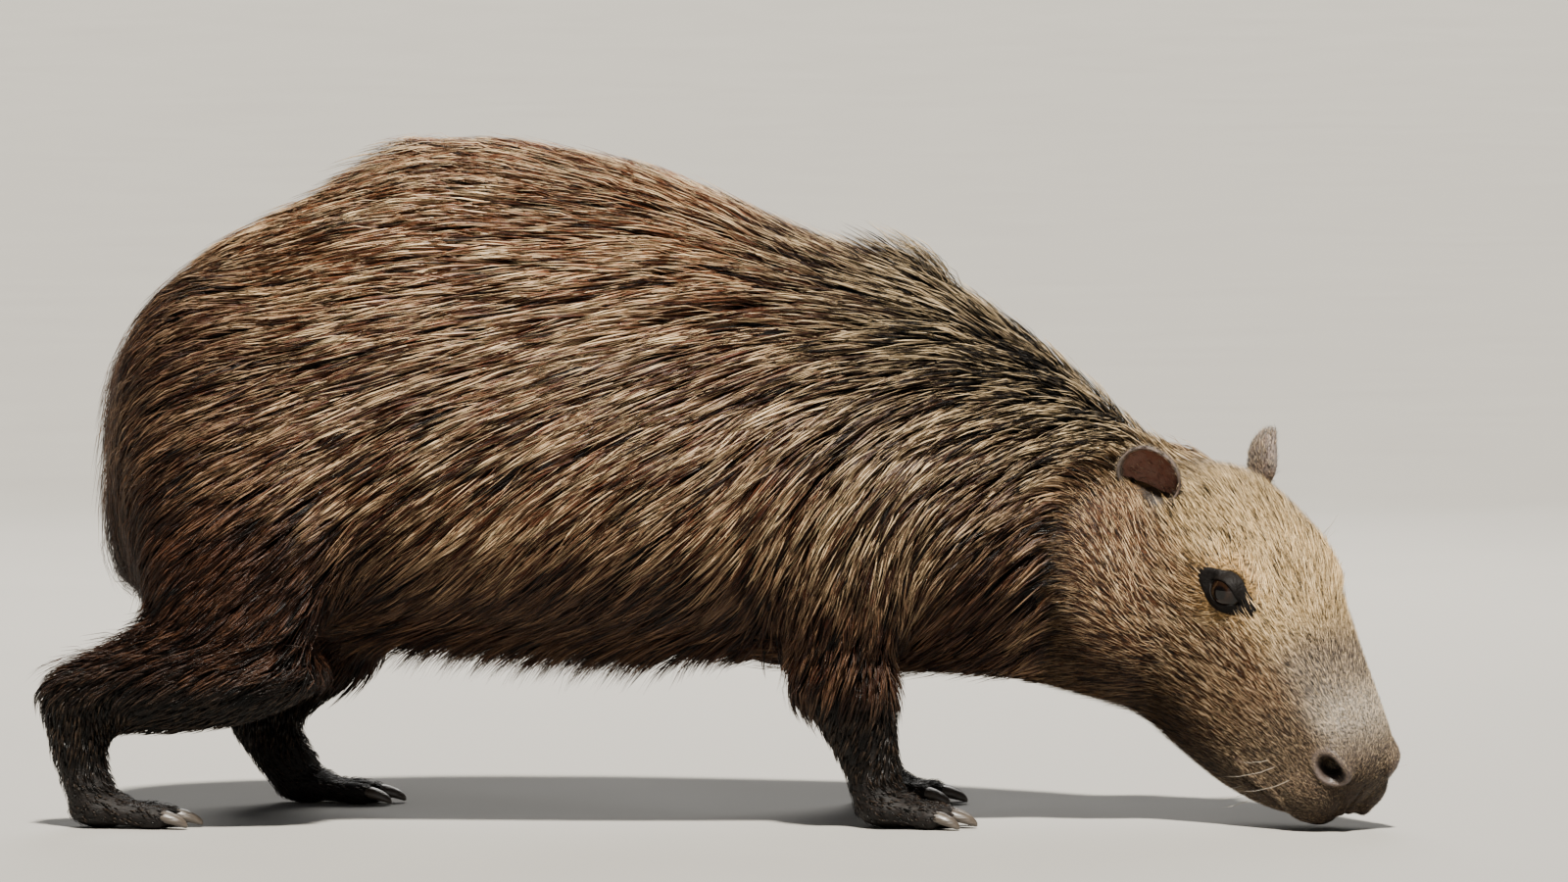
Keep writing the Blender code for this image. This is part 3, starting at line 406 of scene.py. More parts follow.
# %% [markdown]
# ## One skin
# Overlapping lofts look like a toy until their seams melt together. A voxel remesh wraps them all
# in one even surface, and a few rounds of smoothing turn the creases into muscle. Then the surface
# is moved inwards by the depth of the coat, so that the tips of the hair, not the skin, make the
# animal's outline: deep on the body, shallow on the face and lower legs.

# %% Melt the lofts into a body
BODY_CELL, FINE_CELL = 0.006, 0.003
LONG_DEPTH, SHORT_DEPTH = 0.016, 0.0035  # of the skin under the outline


def joined(parts, name):
    bm = bmesh.new()
    for part in parts:
        mesh = bpy.data.meshes.new("part")
        part.to_mesh(mesh)
        part.free()
        bm.from_mesh(mesh)
        bpy.data.meshes.remove(mesh)
    return to_object(bm, name)


def melt(obj, cell):
    step = obj.modifiers.new("melt", "REMESH")
    step.mode = "VOXEL"
    step.voxel_size = cell
    settle(obj)


def soften(obj, weights, repeat):
    group = obj.vertex_groups.new(name="soft")
    for level in range(11):
        indices = np.nonzero(np.round(weights * 10) == level)[0].tolist()
        group.add(indices, level / 10, "REPLACE")
    step = obj.modifiers.new("soften", "SMOOTH")
    step.factor = 0.6
    step.iterations = repeat
    step.vertex_group = "soft"
    settle(obj)
    obj.vertex_groups.clear()


def long_coat(points):
    """1 on the body, 0 on the head and lower legs."""
    x, z = points[:, 0], points[:, 2]
    on_head = ramp(from_head(points)[0], -0.050, -0.010) * ramp(x, 0.25, 0.30)
    belly = ramp(x, -0.28, -0.20) * ramp(x, 0.04, 0.02)
    return (1 - on_head) * (1 - ramp(z, 0.150, 0.100) * (1 - belly))


skin = joined(forms, "skin")
melt(skin, BODY_CELL)
soften(skin, 0.1 + 0.9 * long_coat(read(skin.data)), 14)
places = read(skin.data)
depth = SHORT_DEPTH + (LONG_DEPTH - SHORT_DEPTH) * long_coat(places)
write(skin.data, places - read(skin.data, "normal") * depth[:, None])
print("body skin", len(skin.data.polygons), "faces")

# %% [markdown]
# ## Toes, brows and the blunt nose
# A capybara stands on broad, half-webbed toes, three behind and four in front. They are short
# lofts that fan out of a pad. The brow, cheek, lips, nose and chin are balls pressed into the
# head. A finer melt joins them to the skin.

# %% Feet and the forms of the face


def toe_line(heel, reach, spread):
    return heel + Vector((0.006, spread * 0.55, 0.0)), heel + Vector((reach, spread, -0.006))


def toe(heel, reach, spread):
    root, tip = toe_line(heel, reach, spread)
    way = (tip - root).normalized()
    aside = LEVEL[2].cross(way).normalized()
    rings = []
    for t, size in ((0.0, 0.95), (0.25, 1.0), (0.5, 0.9), (0.75, 1.04), (0.92, 0.85), (1.0, 0.5)):
        radius = TOE_RADIUS * size
        rings.append(section(root.lerp(tip, t), aside, way.cross(aside), radius, radius, radius, count=16))
    return loft(rings)


def foot_forms(heel, toes):
    spread = max(aside for _, aside in toes)
    pad = ball(heel + Vector((0.004, 0, 0.001)), LEVEL, (0.028, spread + 0.002, 0.015))
    web = ball(heel + Vector((0.022, 0, -0.004)), LEVEL, (0.022, spread * 0.8, 0.007))
    return [pad, web] + [toe(heel, reach, aside) for reach, aside in toes]


forms = []
for _, heel, toes in FEET:
    forms += foot_forms(heel, toes)
FACE = (  # ahead, below, aside, radii: brow, cheekbone, upper lip, nose
    (0.084, -0.012, 0.042, 0.040, 0.017, 0.013),
    (0.108, 0.026, 0.052, 0.030, 0.014, 0.012),
    (0.250, 0.060, 0.025, 0.029, 0.030, 0.024),
    (0.254, 0.026, 0.025, 0.017, 0.016, 0.013),
)
HEAD_AXES = (AHEAD, BELOW, HEAD_RIGHT)
for side in (RIGHT, LEFT):
    forms += [ball(in_head(a, b, c, side), HEAD_AXES, radii) for a, b, c, *radii in FACE]
forms.append(ball(in_head(0.245, 0.090, 0.0), HEAD_AXES, (0.026, 0.014, 0.028)))
body = bmesh.new()
body.from_mesh(skin.data)
bpy.data.objects.remove(skin, do_unlink=True)
fine = joined(forms + [body], "fine")
skin = bpy.data.objects.new("skin", fine.data.copy())
bpy.context.scene.collection.objects.link(skin)
for obj, cell in ((skin, BODY_CELL), (fine, FINE_CELL)):
    melt(obj, cell)
    soften(obj, 0.35 + 0.65 * long_coat(read(obj.data)), 5)
print("skin with feet and face", len(skin.data.polygons), "faces; its fine copy", len(fine.data.polygons))

# %% [markdown]
# ## Finer faces on the head and feet
# The body can do with faces of half a centimetre, because its coat hides them. The face can't:
# lips, nostrils and lids are only millimetres wide. So the mesh is divided there, once over the
# head and feet and again round the mouth and nose, and laid onto a finer melt of the same forms.

# %% Divide where the detail is
EYES = {side: (Vector(low) + Vector(high)) / 2
        for side, (low, high) in ((RIGHT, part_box("eye_right")), (LEFT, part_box("eye_left")))}
EYE_RADIUS = 0.0155


def tree_of(obj):
    return BVHTree.FromObject(obj, bpy.context.evaluated_depsgraph_get())


def divide(bm, wanted):
    centres = np.array([face.calc_center_median()[:] for face in bm.faces])
    chosen = {edge for face, pick in zip(bm.faces, wanted(centres)) if pick for edge in face.edges}
    bmesh.ops.subdivide_edges(bm, edges=list(chosen), cuts=1, use_grid_fill=True)
    verts = {vert for edge in chosen if edge.is_valid for vert in edge.verts}
    bmesh.ops.smooth_vert(bm, verts=list(verts), factor=0.5, use_axis_x=True, use_axis_y=True,
                          use_axis_z=True)


def near_mouth(points):
    ahead, below, _ = from_head(points)
    return (ahead > 0.205) & (below > 0.0) & (points[:, 0] > 0.3)


bm = bmesh.new()
bm.from_mesh(skin.data)
divide(bm, lambda points: (from_head(points)[0] > -0.03) & (points[:, 0] > 0.3) | (points[:, 2] < 0.030))
divide(bm, near_mouth)
bm.to_mesh(skin.data)
bm.free()
bpy.context.view_layer.update()
tree = tree_of(fine)
places = read(skin.data)
ahead = from_head(places)[0]
for index in np.nonzero((ahead > -0.02) & (places[:, 0] > 0.3) | (places[:, 2] < 0.040))[0].tolist():
    places[index] = tree.find_nearest(places[index])[0]
write(skin.data, places)
bpy.data.objects.remove(fine, do_unlink=True)
print("skin", len(skin.data.polygons), "faces")

# %% [markdown]
# ## Mouth, nostrils and the sockets
# The split upper lip of a rodent hangs over the mouth's line, the nostrils are slanted pits with
# a raised wet rim, and the skin dips into a socket around each eye. Each is a smooth push of the
# vertices near a line or a point, by an amount that fades with distance. How dark each vertex is
# painted is kept as the attribute 'dark' for the material: painted shade in the mouth's line, the
# lip's cleft and the nostril pits, and the real black skin round the eyes. The nostrils' rims are
# marked for a glossy finish and a lighter painted wet sheen.

# %% Shape the face
MOUTH_CORNER, MOUTH_FRONT = (0.212, 0.098, 0.046), (0.283, 0.078, 0.0)
NOSTRIL_PLACE, NOSTRIL_WAY = (0.254, 0.025, 0.032), (0.80, 0.10, 0.62)
NOSTRIL_LONG = (-0.35, 0.10, 0.8)
NOSTRIL_SIZE = (0.0125, 0.0085)  # half length and half height
EYE_WAY = (0.10, -0.22, 1.0)
EYE_TURN = math.radians(14)  # of the lids' long axis, towards the crown


def eye_axes(side):
    out = head_way(*EYE_WAY, side)
    long_axis = AHEAD * math.cos(EYE_TURN) - BELOW * math.sin(EYE_TURN)
    long_axis = (long_axis - out * long_axis.dot(out)).normalized()
    return long_axis, out.cross(long_axis), out


def bare_half(u):
    """Half height of the black skin at a distance along the lids' long axis."""
    round_part = 0.0085 * np.sqrt(np.maximum(1 - (u / 0.0170) ** 2, 0))
    return round_part + 0.0046 * (1 - u / 0.034) * (u < 0.034)


def mouth_line(tree, count=60):
    line = []
    for i in range(count + 1):
        t = i / count * 2 - 1
        bow = math.cos(t * math.pi / 2) ** 0.8
        ahead, below = (a + (b - a) * bow for a, b in zip(MOUTH_CORNER[:2], MOUTH_FRONT[:2]))
        spot = in_head(ahead, below, MOUTH_CORNER[2] * math.sin(t * math.pi / 2))
        line.append(tree.find_nearest(spot)[0])
    return line


bpy.context.view_layer.update()
tree = tree_of(skin)
line = mouth_line(tree)
finder = KDTree(len(line))
for i, spot in enumerate(line):
    finder.insert(spot, i)
finder.balance()
places, normals = read(skin.data), read(skin.data, "normal")
dark = np.zeros(len(places))
ahead, below, aside = from_head(places)
on_face = (ahead > 0.17) & (below > 0.0) & (places[:, 0] > 0.3)
push = np.zeros(len(places))
for index in np.nonzero(on_face)[0].tolist():
    spot, _, far = finder.find(places[index])
    above = float((Vector(places[index]) - spot).dot(-BELOW))
    push[index] += 0.0030 * math.exp(-((above - 0.0050) / 0.0040) ** 2) * (far < 0.02)
    push[index] += 0.0012 * math.exp(-((above + 0.0060) / 0.0035) ** 2) * (far < 0.02)
    # The mouth's line is pushed into a groove and painted near black there, as painted shade in the groove.
    push[index] -= 0.0062 * math.exp(-(far / 0.0019) ** 2)
    dark[index] = math.exp(-(far / 0.0026) ** 2)
# The lip's cleft is pushed in and painted dark, as painted shade in the groove.
cleft = np.exp(-(aside / 0.0018) ** 2) * ramp(below, 0.030, 0.042) * ramp(below, 0.078, 0.070) * (ahead > 0.24)
push -= 0.0028 * cleft
dark = np.maximum(dark, 0.7 * cleft)
moist = np.zeros(len(places))
NOSTRILS = {}
for side in (RIGHT, LEFT):
    out = head_way(*NOSTRIL_WAY, side)
    long_axis = head_way(*NOSTRIL_LONG, side)
    long_axis = (long_axis - out * long_axis.dot(out)).normalized()
    start = in_head(*NOSTRIL_PLACE, side)
    centre = tree.ray_cast(start + out * 0.1, -out)[0]
    NOSTRILS[side] = centre
    offset = places - np.array(centre)
    u = offset @ np.array(long_axis) / NOSTRIL_SIZE[0]
    v = offset @ np.array(out.cross(long_axis)) / NOSTRIL_SIZE[1]
    r = np.sqrt(u * u + v * v + (offset @ np.array(out) / 0.02) ** 2)
    push += 0.0024 * np.exp(-((r - 1.25) / 0.28) ** 2) - 0.0130 * ramp(r, 1.10, 0.50)
    # Painted shade: the inside of each nostril pit is painted black.
    dark = np.maximum(dark, ramp(r, 1.08, 0.80))
    # The nostril's rim: glossier, and painted lighter as a wet sheen.
    moist = np.maximum(moist, np.exp(-((r - 1.15) / 0.25) ** 2))
places += normals * push[:, None]
for side, centre in EYES.items():
    offset = places - np.array(centre)
    far = np.linalg.norm(offset, axis=1)
    socket = EYE_RADIUS + 0.0016
    inside = far < socket
    places[inside] -= np.array(head_way(*EYE_WAY, side)) * (socket - far[inside])[:, None] * 1.6
    long_axis, up_axis, _ = eye_axes(side)
    u, v = np.abs(offset @ np.array(long_axis)), np.abs(offset @ np.array(up_axis))
    dark = np.maximum(dark, ramp(v - bare_half(u), 0.0012, -0.0004) * (far < 0.045))
places[:, 2] = np.maximum(places[:, 2], 0.0)
write(skin.data, places)
skin.data.shade_smooth()
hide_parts("torso", "neck", "head",
            *[piece + side for piece in ("thigh", "shank", "hind_foot", "upper_arm", "forearm", "fore_foot")
              for side in ("_right", "_left")])
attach(skin, "root")
print("skin", len(skin.data.polygons), "faces, lowest point", round(float(places[:, 2].min()), 4))

# %% [markdown]
# ## Eyes and lids
# The eyeball is dark and wet, with a cornea that bulges a little from the ball. Thick black lids
# hold it in a slanted almond whose corners run out into the skin. Each rim is a closed loft of
# small sections that ride round the almond: out of the skin, over the rim, and back in against
# the ball, so no gap shows from any side.

# %% Eyeballs


def place_with(bm, centre, axes):
    turn = Matrix(axes).transposed().to_4x4()
    bmesh.ops.transform(bm, matrix=Matrix.Translation(centre) @ turn, verts=bm.verts)
    bmesh.ops.recalc_face_normals(bm, faces=bm.faces)


def number(obj, name, values):
    obj.data.attributes.new(name, "FLOAT", "POINT").data.foreach_set("value", values.astype(np.float32))


def cornea(turn):
    """How much farther out the ball's front bulges, by the cosine of the angle from its middle."""
    return 1 + 0.055 * float(ramp(turn, 0.72, 0.97))


for side, name in ((RIGHT, "right"), (LEFT, "left")):
    bm = bmesh.new()
    bmesh.ops.create_uvsphere(bm, u_segments=64, v_segments=48, radius=EYE_RADIUS)
    gaze = np.array([vert.co.normalized().z for vert in bm.verts])
    for vert, turn in zip(bm.verts, gaze):
        vert.co *= cornea(turn)
    place_with(bm, EYES[side], eye_axes(side))
    ball_obj = to_object(bm, "eyeball_" + name)
    number(ball_obj, "gaze", np.arccos(np.clip(gaze, -1, 1)))
    ball_obj.data.shade_smooth()
    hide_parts("eye_" + name)
    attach(ball_obj, "root")
print("eyes at", [[round(c, 3) for c in centre] for centre in EYES.values()])

# %% Lids
OPENING = (0.0128, 0.0086)  # half length and half height between the lids
LID_SECTION = (  # how far out of the opening, and how high over the ball or the skin
    (0.0000, 0.0006), (0.0006, 0.0018), (0.0018, 0.0028), (0.0036, 0.0030), (0.0056, 0.0020),
    (0.0078, 0.0002), (0.0095, -0.0034), (0.0066, -0.0052), (0.0030, -0.0035), (0.0004, -0.0015),
)


def lid_ring(angle, side, axes, centre, tree):
    """One section of the rim; near the corners it stretches outwards."""
    c, s = math.cos(angle), math.sin(angle)
    corner = abs(c) ** 10
    flat = Vector((c * OPENING[0] * (1 + 0.16 * corner), math.copysign(abs(s) ** 1.25, s) * OPENING[1]))
    outward = Vector((c / OPENING[0], s / OPENING[1])).normalized()
    points = []
    for out, lift in LID_SECTION:
        spot = flat + outward * out * (1 + 0.75 * corner)
        radius = min(spot.length / EYE_RADIUS, 0.98)
        rise = math.sqrt(1 - radius * radius)
        on_ball = EYE_RADIUS * rise * cornea(rise)
        middle = centre + axes[0] * spot.x + axes[1] * spot.y
        on_skin = (tree.ray_cast(middle + axes[2] * 0.05, -axes[2])[0] - middle).dot(axes[2])
        share = float(ramp(out, 0.0005, 0.0065))
        height = on_ball * (1 - share) + on_skin * share + lift * (1 - 0.35 * corner)
        if lift > 0:
            height = max(height, on_ball + min(lift, 0.0012), on_skin + 0.0006)
        points.append(middle + axes[2] * height)
    return points


bpy.context.view_layer.update()
tree = tree_of(skin)
for side, name in ((RIGHT, "right"), (LEFT, "left")):
    axes = eye_axes(side)
    bm = bmesh.new()
    loops = []
    for k in range(96):
        points = lid_ring(2 * math.pi * k / 96, side, axes, EYES[side], tree)
        verts = [bm.verts.new(point) for point in points]
        loops.append([bm.edges.new(pair) for pair in zip(verts, verts[1:] + verts[:1])])
    for one, after in zip(loops, loops[1:] + loops[:1]):
        bmesh.ops.bridge_loops(bm, edges=one + after)
    bmesh.ops.smooth_vert(bm, verts=bm.verts, factor=0.3, use_axis_x=True, use_axis_y=True, use_axis_z=True)
    bmesh.ops.recalc_face_normals(bm, faces=bm.faces)
    lids = to_object(bm, "eyelids_" + name)
    lids.data.shade_smooth()
    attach(lids, "root")
print("lids open", round(2000 * OPENING[1], 1), "mm")

# %% [markdown]
# ## Ears
# A capybara's ears are small, thick shells, laid back, with the cup facing out to the side. The
# cloth of each is a flat grid, rounded to a disc, dished, and curled over at its edge, then given
# its thickness.

# %% Shells of the ears
EAR_ROOT, EAR_TIP_WAY, EAR_FACING = (0.0, -0.002, 0.057), (-0.044, -0.002, 0.027), (0.5, -0.2, 0.85)
EAR_HALF = (0.0285, 0.0245, 0.0125)  # half length, width and depth
EAR_THICKNESS = 0.0024
EARS = {}


def ear_axes(side):
    way = head_way(*EAR_TIP_WAY, side)
    facing = head_way(*EAR_FACING, side)
    facing = (facing - way * facing.dot(way)).normalized()
    return way, facing.cross(way), facing


def ear_hollow(side):
    """The middle of the bare skin at the foot of the cup."""
    return in_head(*EAR_ROOT, side) + ear_axes(side)[0] * 0.008


def dish(x, y):
    """Where a point of the unit square goes on the shell."""
    u, v = x * math.sqrt(1 - y * y / 2), y * math.sqrt(1 - x * x / 2)
    r = math.hypot(u, v)
    curl = float(ramp(r, 0.86, 1.0))
    depth = -math.sqrt(max(1 - 0.93 * r * r, 0)) + 0.28 * curl + 0.12 * math.sin(3 * math.atan2(v, u)) * r * r
    narrow = 1 - 0.05 * curl - 0.10 * float(ramp(u, 0.2, -0.9))
    return Vector((u * narrow, v * narrow, depth))


for side, name in ((RIGHT, "right"), (LEFT, "left")):
    axes = ear_axes(side)
    centre = in_head(*EAR_ROOT, side) + axes[0] * (EAR_HALF[0] - 0.006)
    bm = bmesh.new()
    bmesh.ops.create_grid(bm, x_segments=36, y_segments=36, size=1.0)
    for vert in bm.verts:
        vert.co = Vector(a * b for a, b in zip(dish(vert.co.x, vert.co.y), EAR_HALF))
    bmesh.ops.recalc_face_normals(bm, faces=bm.faces)
    bmesh.ops.solidify(bm, geom=bm.faces[:], thickness=-EAR_THICKNESS)
    bmesh.ops.smooth_vert(bm, verts=bm.verts, factor=0.4, use_axis_x=True, use_axis_y=True, use_axis_z=True)
    depth = np.array([-vert.co.z / EAR_HALF[2] for vert in bm.verts])
    place_with(bm, centre, axes)
    ear = to_object(bm, "ear_shell_" + name)
    number(ear, "cup", ramp(depth, 0.15, 0.60) * ramp(read(ear.data, "normal") @ np.array(axes[2]), 0.0, 0.3))
    ear.data.shade_smooth()
    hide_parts("ear_" + name)
    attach(ear, "root")
    EARS[side] = ear
print("ear shells", len(EARS[RIGHT].data.polygons), "faces each")

# %% [markdown]
# ## Claws
# Each toe ends in a blunt, hoof-like claw, wider than high and flat below, set on the toe just off
# the ground.

# %% Claws
CLAW_LENGTH = 0.017
CLAW = (  # place along, half width, half height, drop
    (-0.62, 0.50, 0.42, 0.0020), (-0.40, 0.74, 0.58, 0.0016), (0.0, 0.82, 0.64, 0.0010),
    (0.5, 0.68, 0.54, -0.0005), (0.82, 0.42, 0.38, -0.0023), (0.95, 0.16, 0.16, -0.0032),
)


def claw(heel, reach, spread):
    root, tip = toe_line(heel, reach, spread)
    way = (tip - root).normalized()
    aside = LEVEL[2].cross(way).normalized()
    rings = []
    for t, width, lift, drop in eased(CLAW, 3):
        centre = tip + way * CLAW_LENGTH * t + Vector((0, 0, drop))
        rings.append(section(centre, aside, way.cross(aside), TOE_RADIUS * width, TOE_RADIUS * lift,
                             TOE_RADIUS * lift * 0.6, 2.0, 2.6, 18))
    return loft(rings)


for foot, heel, toes in FEET:
    claws = joined([claw(heel, *where) for where in toes], foot.replace("foot", "claws"))
    places = read(claws.data)
    places[:, 2] = np.maximum(places[:, 2], 0.0002)
    write(claws.data, places)
    claws.data.shade_smooth()
    stem = foot.replace("foot", "claw")
    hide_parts(*[stem + "_" + str(k + 1) for k in range(len(toes))])
    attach(claws, "root")
print("claws on", len(FEET), "feet")

# %% [markdown]
# ## Which way the hair lies
# A coat is read by its lie. It runs straight back along the spine, turns down over the flanks and
# falls almost upright on rump, thighs and shoulders. On the head it runs back from the nose and
# parts round the eyes. It could be combed by hand as guides; here the lie is a field over the
# whole body, with slow waves in it, and every tuft asks the field which way to go.

# %% The lie of the hair


def waves(points, scale, phase=0.0):
    x, y, z = (points * scale).T
    return (np.sin(x + 1.7 * np.sin(0.9 * z + phase)) + np.sin(1.3 * y + 2.1 * np.sin(0.8 * x - phase))
            + np.sin(1.1 * z + 1.9 * np.sin(1.2 * y + 2 * phase))) / 3


def on_head(points):
    return ramp(from_head(points)[0], -0.070, -0.005) * ramp(points[:, 0], 0.25, 0.32)


def lie(points):
    x, y, z = points.T
    fore = ramp(x, 0.0, 0.06) * ramp(x, 0.20, 0.15) * ramp(np.abs(y), 0.07, 0.12) * ramp(z, 0.38, 0.22)
    angle = 5 + 40 * ramp(z, 0.52, 0.17) + 28 * fore + 26 * ramp(x, -0.40, -0.50)
    shank = ramp(z, 0.19, 0.14) * ramp(x, -0.25, -0.31)
    angle = angle * (1 - shank) + np.where(y < 0, 24, 52) * shank
    hock = ramp(z, 0.125, 0.095) * ramp(x, np.where(y < 0, -0.455, -0.325), np.where(y < 0, -0.49, -0.36))
    angle = angle * (1 - hock) + 86 * hock
    angle = np.radians(np.minimum(angle + 6 * waves(points, 17, 1.0), 86))
    body = np.stack([-np.cos(angle), 0 * x, -np.sin(angle)], axis=1)
    foot = ramp(z, 0.055, 0.025)[:, None]
    body = unit(body * (1 - foot) + np.array([1.0, 0.0, -0.35]) * foot)
    ahead, below, aside = from_head(points)
    back = -1.0 + 0 * x
    down = 0.30 * ramp(below, 0.02, 0.10) - 0.10
    out = 0.20 * np.sign(aside) * ramp(np.abs(aside), 0.0, 0.03)
    head = np.stack([back, down, out], axis=1) @ HEAD_FRAME
    for centre in EYES.values():
        away = points - np.array(centre)
        far = np.linalg.norm(away, axis=1, keepdims=True)
        head += 1.3 * away / far * np.exp(-((far - 0.016) / 0.016) ** 2)
    share = on_head(points)[:, None]
    return unit(body * (1 - share) + unit(head) * share)


def along_surface(ways, normals):
    return unit(ways - normals * (ways * normals).sum(axis=1, keepdims=True))


print("lie at the middle of the flank", lie(np.array([[-0.1, -0.18, 0.35]]))[0].round(2))

# %% [markdown]
# ## Colour of the coat
# The bristles are reddish brown with straw-coloured tips, darkest on the nape and legs; the
# muzzle is a speckled grey-brown. Painted shade darkens the lower flank and belly, the rump, the
# lower thighs and, over their own black-brown, the lower legs, where they turn from the light.
# The top of the head is paler, partly its own colour and partly painted light, and the top of the
# muzzle is a paler grey with a painted highlight on the nose. The markings and this painted light
# and shade follow the body's own places, not the camera, and one function gives them to skin and
# tufts alike. Its fourth value says how pale the tips are.

# %% The pelt's markings
PELT = {  # linear red, green and blue of the hair, and how pale its tips are
    # Painted light in this table: 'low', 'rump' and 'thigh' are painted shade, and 'leg' is partly so; 'brow' and
    # 'nose' are partly painted light on top of the head, and the entry after 'ring' is a painted highlight on the
    # nose.
    "back": (0.205, 0.058, 0.015, 0.84), "flank": (0.122, 0.029, 0.007, 0.86),
    "low": (0.036, 0.008, 0.002, 0.10), "rump": (0.038, 0.009, 0.003, 0.14),
    "nape": (0.008, 0.005, 0.004, 0.72), "shoulder": (0.066, 0.019, 0.007, 0.80),
    "leg": (0.011, 0.006, 0.004, 0.02), "thigh": (0.028, 0.007, 0.002, 0.03),
    "cheek": (0.125, 0.046, 0.014, 0.72), "brow": (0.760, 0.520, 0.240, 1.30),
    "muzzle": (0.090, 0.054, 0.033, 0.60), "jaw": (0.055, 0.017, 0.005, 0.25),
    "nose": (0.190, 0.150, 0.120, 0.90), "ring": (0.640, 0.380, 0.140, 1.00),
    "painted_highlight": (0.520, 0.455, 0.380, 1.10), "black": (0.008, 0.006, 0.005, 0.05),
}


def pelt_colour_and_shading(points):
    x, y, z = points.T
    blot = 0.5 + 0.5 * waves(points, 31, 2.0)
    colour = np.tile(PELT["flank"], (len(points), 1))

    def lay(name, share):
        nonlocal colour
        share = np.clip(share, 0, 1)[:, None]
        colour = colour * (1 - share) + np.array(PELT[name]) * share

    lay("back", ramp(z, 0.36, 0.50) * ramp(x, 0.12, 0.02))
    lay("shoulder", ramp(x, 0.02, 0.14))
    # Painted shade: the lower flank and belly, the rear of the rump and the lower thigh are darkened where they turn
    # away from the light.
    lay("low", ramp(z + 0.05 * (blot - 0.5) + 0.03 * ramp(x, -0.1, 0.1) - 0.05 * ramp(x, 0.16, 0.26), 0.33, 0.21))
    lay("rump", ramp(x, -0.24, -0.42) * ramp(z, 0.54, 0.44))
    lay("thigh", ramp(x, -0.24, -0.32) * ramp(z, 0.36, 0.24))
    spine = 0.437 - 0.62 * np.maximum(x - 0.20, 0)
    lay("nape", ramp(x, 0.10, 0.20) * ramp(spine - z, 0.130, 0.040) * ramp(x, 0.42, 0.36))
    # The lower legs are their own black-brown, darkened further as painted shade.
    lay("leg", ramp(z, 0.150, 0.110) * np.maximum(ramp(x, -0.20, -0.28), ramp(x, 0.0, 0.04)) * ramp(x, 0.26, 0.20))
    ahead, below, aside = from_head(points)
    side = np.abs(aside)
    head = on_head(points)
    level = below + 0.10 * side
    lay("cheek", head)
    lay("jaw", head * ramp(level, 0.075, 0.125))
    # The top of the head is paler: partly the forehead's own colour, partly painted light.
    lay("brow", head * ramp(level, 0.030, -0.008) * ramp(ahead, 0.200, 0.150))
    lay("muzzle", head * ramp(ahead + 0.12 * below, 0.165, 0.225))
    # The top of the muzzle is a paler grey, partly its own colour and partly painted light; the last patch is a
    # painted highlight on the top of the nose.
    bridge = head * ramp(level, 0.030, 0.000)
    lay("nose", bridge * ramp(ahead, 0.135, 0.185))
    lay("painted_highlight", bridge * np.exp(-((ahead - 0.225) / 0.020) ** 2))
    for centre in EYES.values():
        far = np.linalg.norm(points - np.array(centre), axis=1)
        lay("ring", head * ramp(far, 0.036, 0.022) * 0.8)
        under = np.linalg.norm(points - np.array(centre) + 0.020 * HEAD_FRAME[0] - 0.014 * HEAD_FRAME[1], axis=1)
        lay("jaw", head * np.exp(-((under - 0.010) / 0.007) ** 2) * 0.7)
    colour[:, :3] *= (0.80 + 0.40 * blot)[:, None]
    return colour


for where in ((-0.1, -0.18, 0.35), (0.45, -0.13, 0.12)):
    print("pelt at", where, pelt_colour_and_shading(np.array([where]))[0].round(3))

# %% [markdown]
# ## Tufts
# Wet bristles cling together in flat, pointed locks a few millimetres wide. Each one here is a
# closed little solid with a ridge along it: three-cornered rings from root to tip. Its root is
# under the skin, it follows the body's surface as it goes, and its tip rises through the depth of
# the coat. Tips are drawn together in clumps, some standing high and some lying low, which makes
# dark partings between them; the low clumps and the roots are also painted darker, as painted
# shade in the partings, and the high clumps paler, as painted light.

# %% Build many tufts at once
LONG_SHAPE = ((0.0, 0.75, -0.15), (0.40, 1.0, 0.52), (0.78, 0.58, 0.88), (1.0, 0.0, 1.0))
SHORT_SHAPE = ((0.0, 0.80, -0.50), (0.50, 1.0, 0.60), (1.0, 0.0, 1.0))  # place, width, height
FACE_SHAPE = ((0.0, 1.0, -0.35), (1.0, 0.0, 1.0))  # too short to bend
PATCH = 0.003  # of the unwrap that one tuft takes


def follow(tree, roots, normals, ways, lengths, shape, drop):
    """Places, normals and ways along each tuft as it follows the surface."""
    count = len(roots)
    path, outs, along = [roots], [normals], [ways]
    point, way, at = roots, ways, 0.0
    for t, _, _ in shape[1:]:
        point = point + way * (lengths * (t - at))[:, None]
        near, out = np.empty((count, 3)), np.empty((count, 3))
        for i, spot in enumerate(point.tolist()):
            found = tree.find_nearest(spot)
            near[i], out[i] = found[0], found[1]
        free = drop[:, None] * ramp(t, 0.0, 0.6)
        point = near * (1 - free) + point * free
        out = unit(out + 0.6 * outs[-1])
        bent = unit(lie(point) + np.array([0, 0, -0.9]) * free)
        way = way * 0.5 + bent * 0.5
        way = unit(along_surface(way, out) * (1 - free) + way * free)
        at = t
        path.append(point)
        outs.append(out)
        along.append(way)
    return np.stack(path, 1), np.stack(outs, 1), np.stack(along, 1)


def template(rings):
    """Triangles of one tuft, facing outward."""
    faces = [(0, 1, 2)]
    for k in range(rings):
        for i, j in ((0, 1), (1, 2), (2, 0)):
            a, b = 3 * k + i, 3 * k + j
            if k == rings - 1:
                faces.append((a, 3 * rings, b))
            else:
                faces += [(a, a + 3, b + 3), (a, b + 3, b)]
    return np.array(faces)


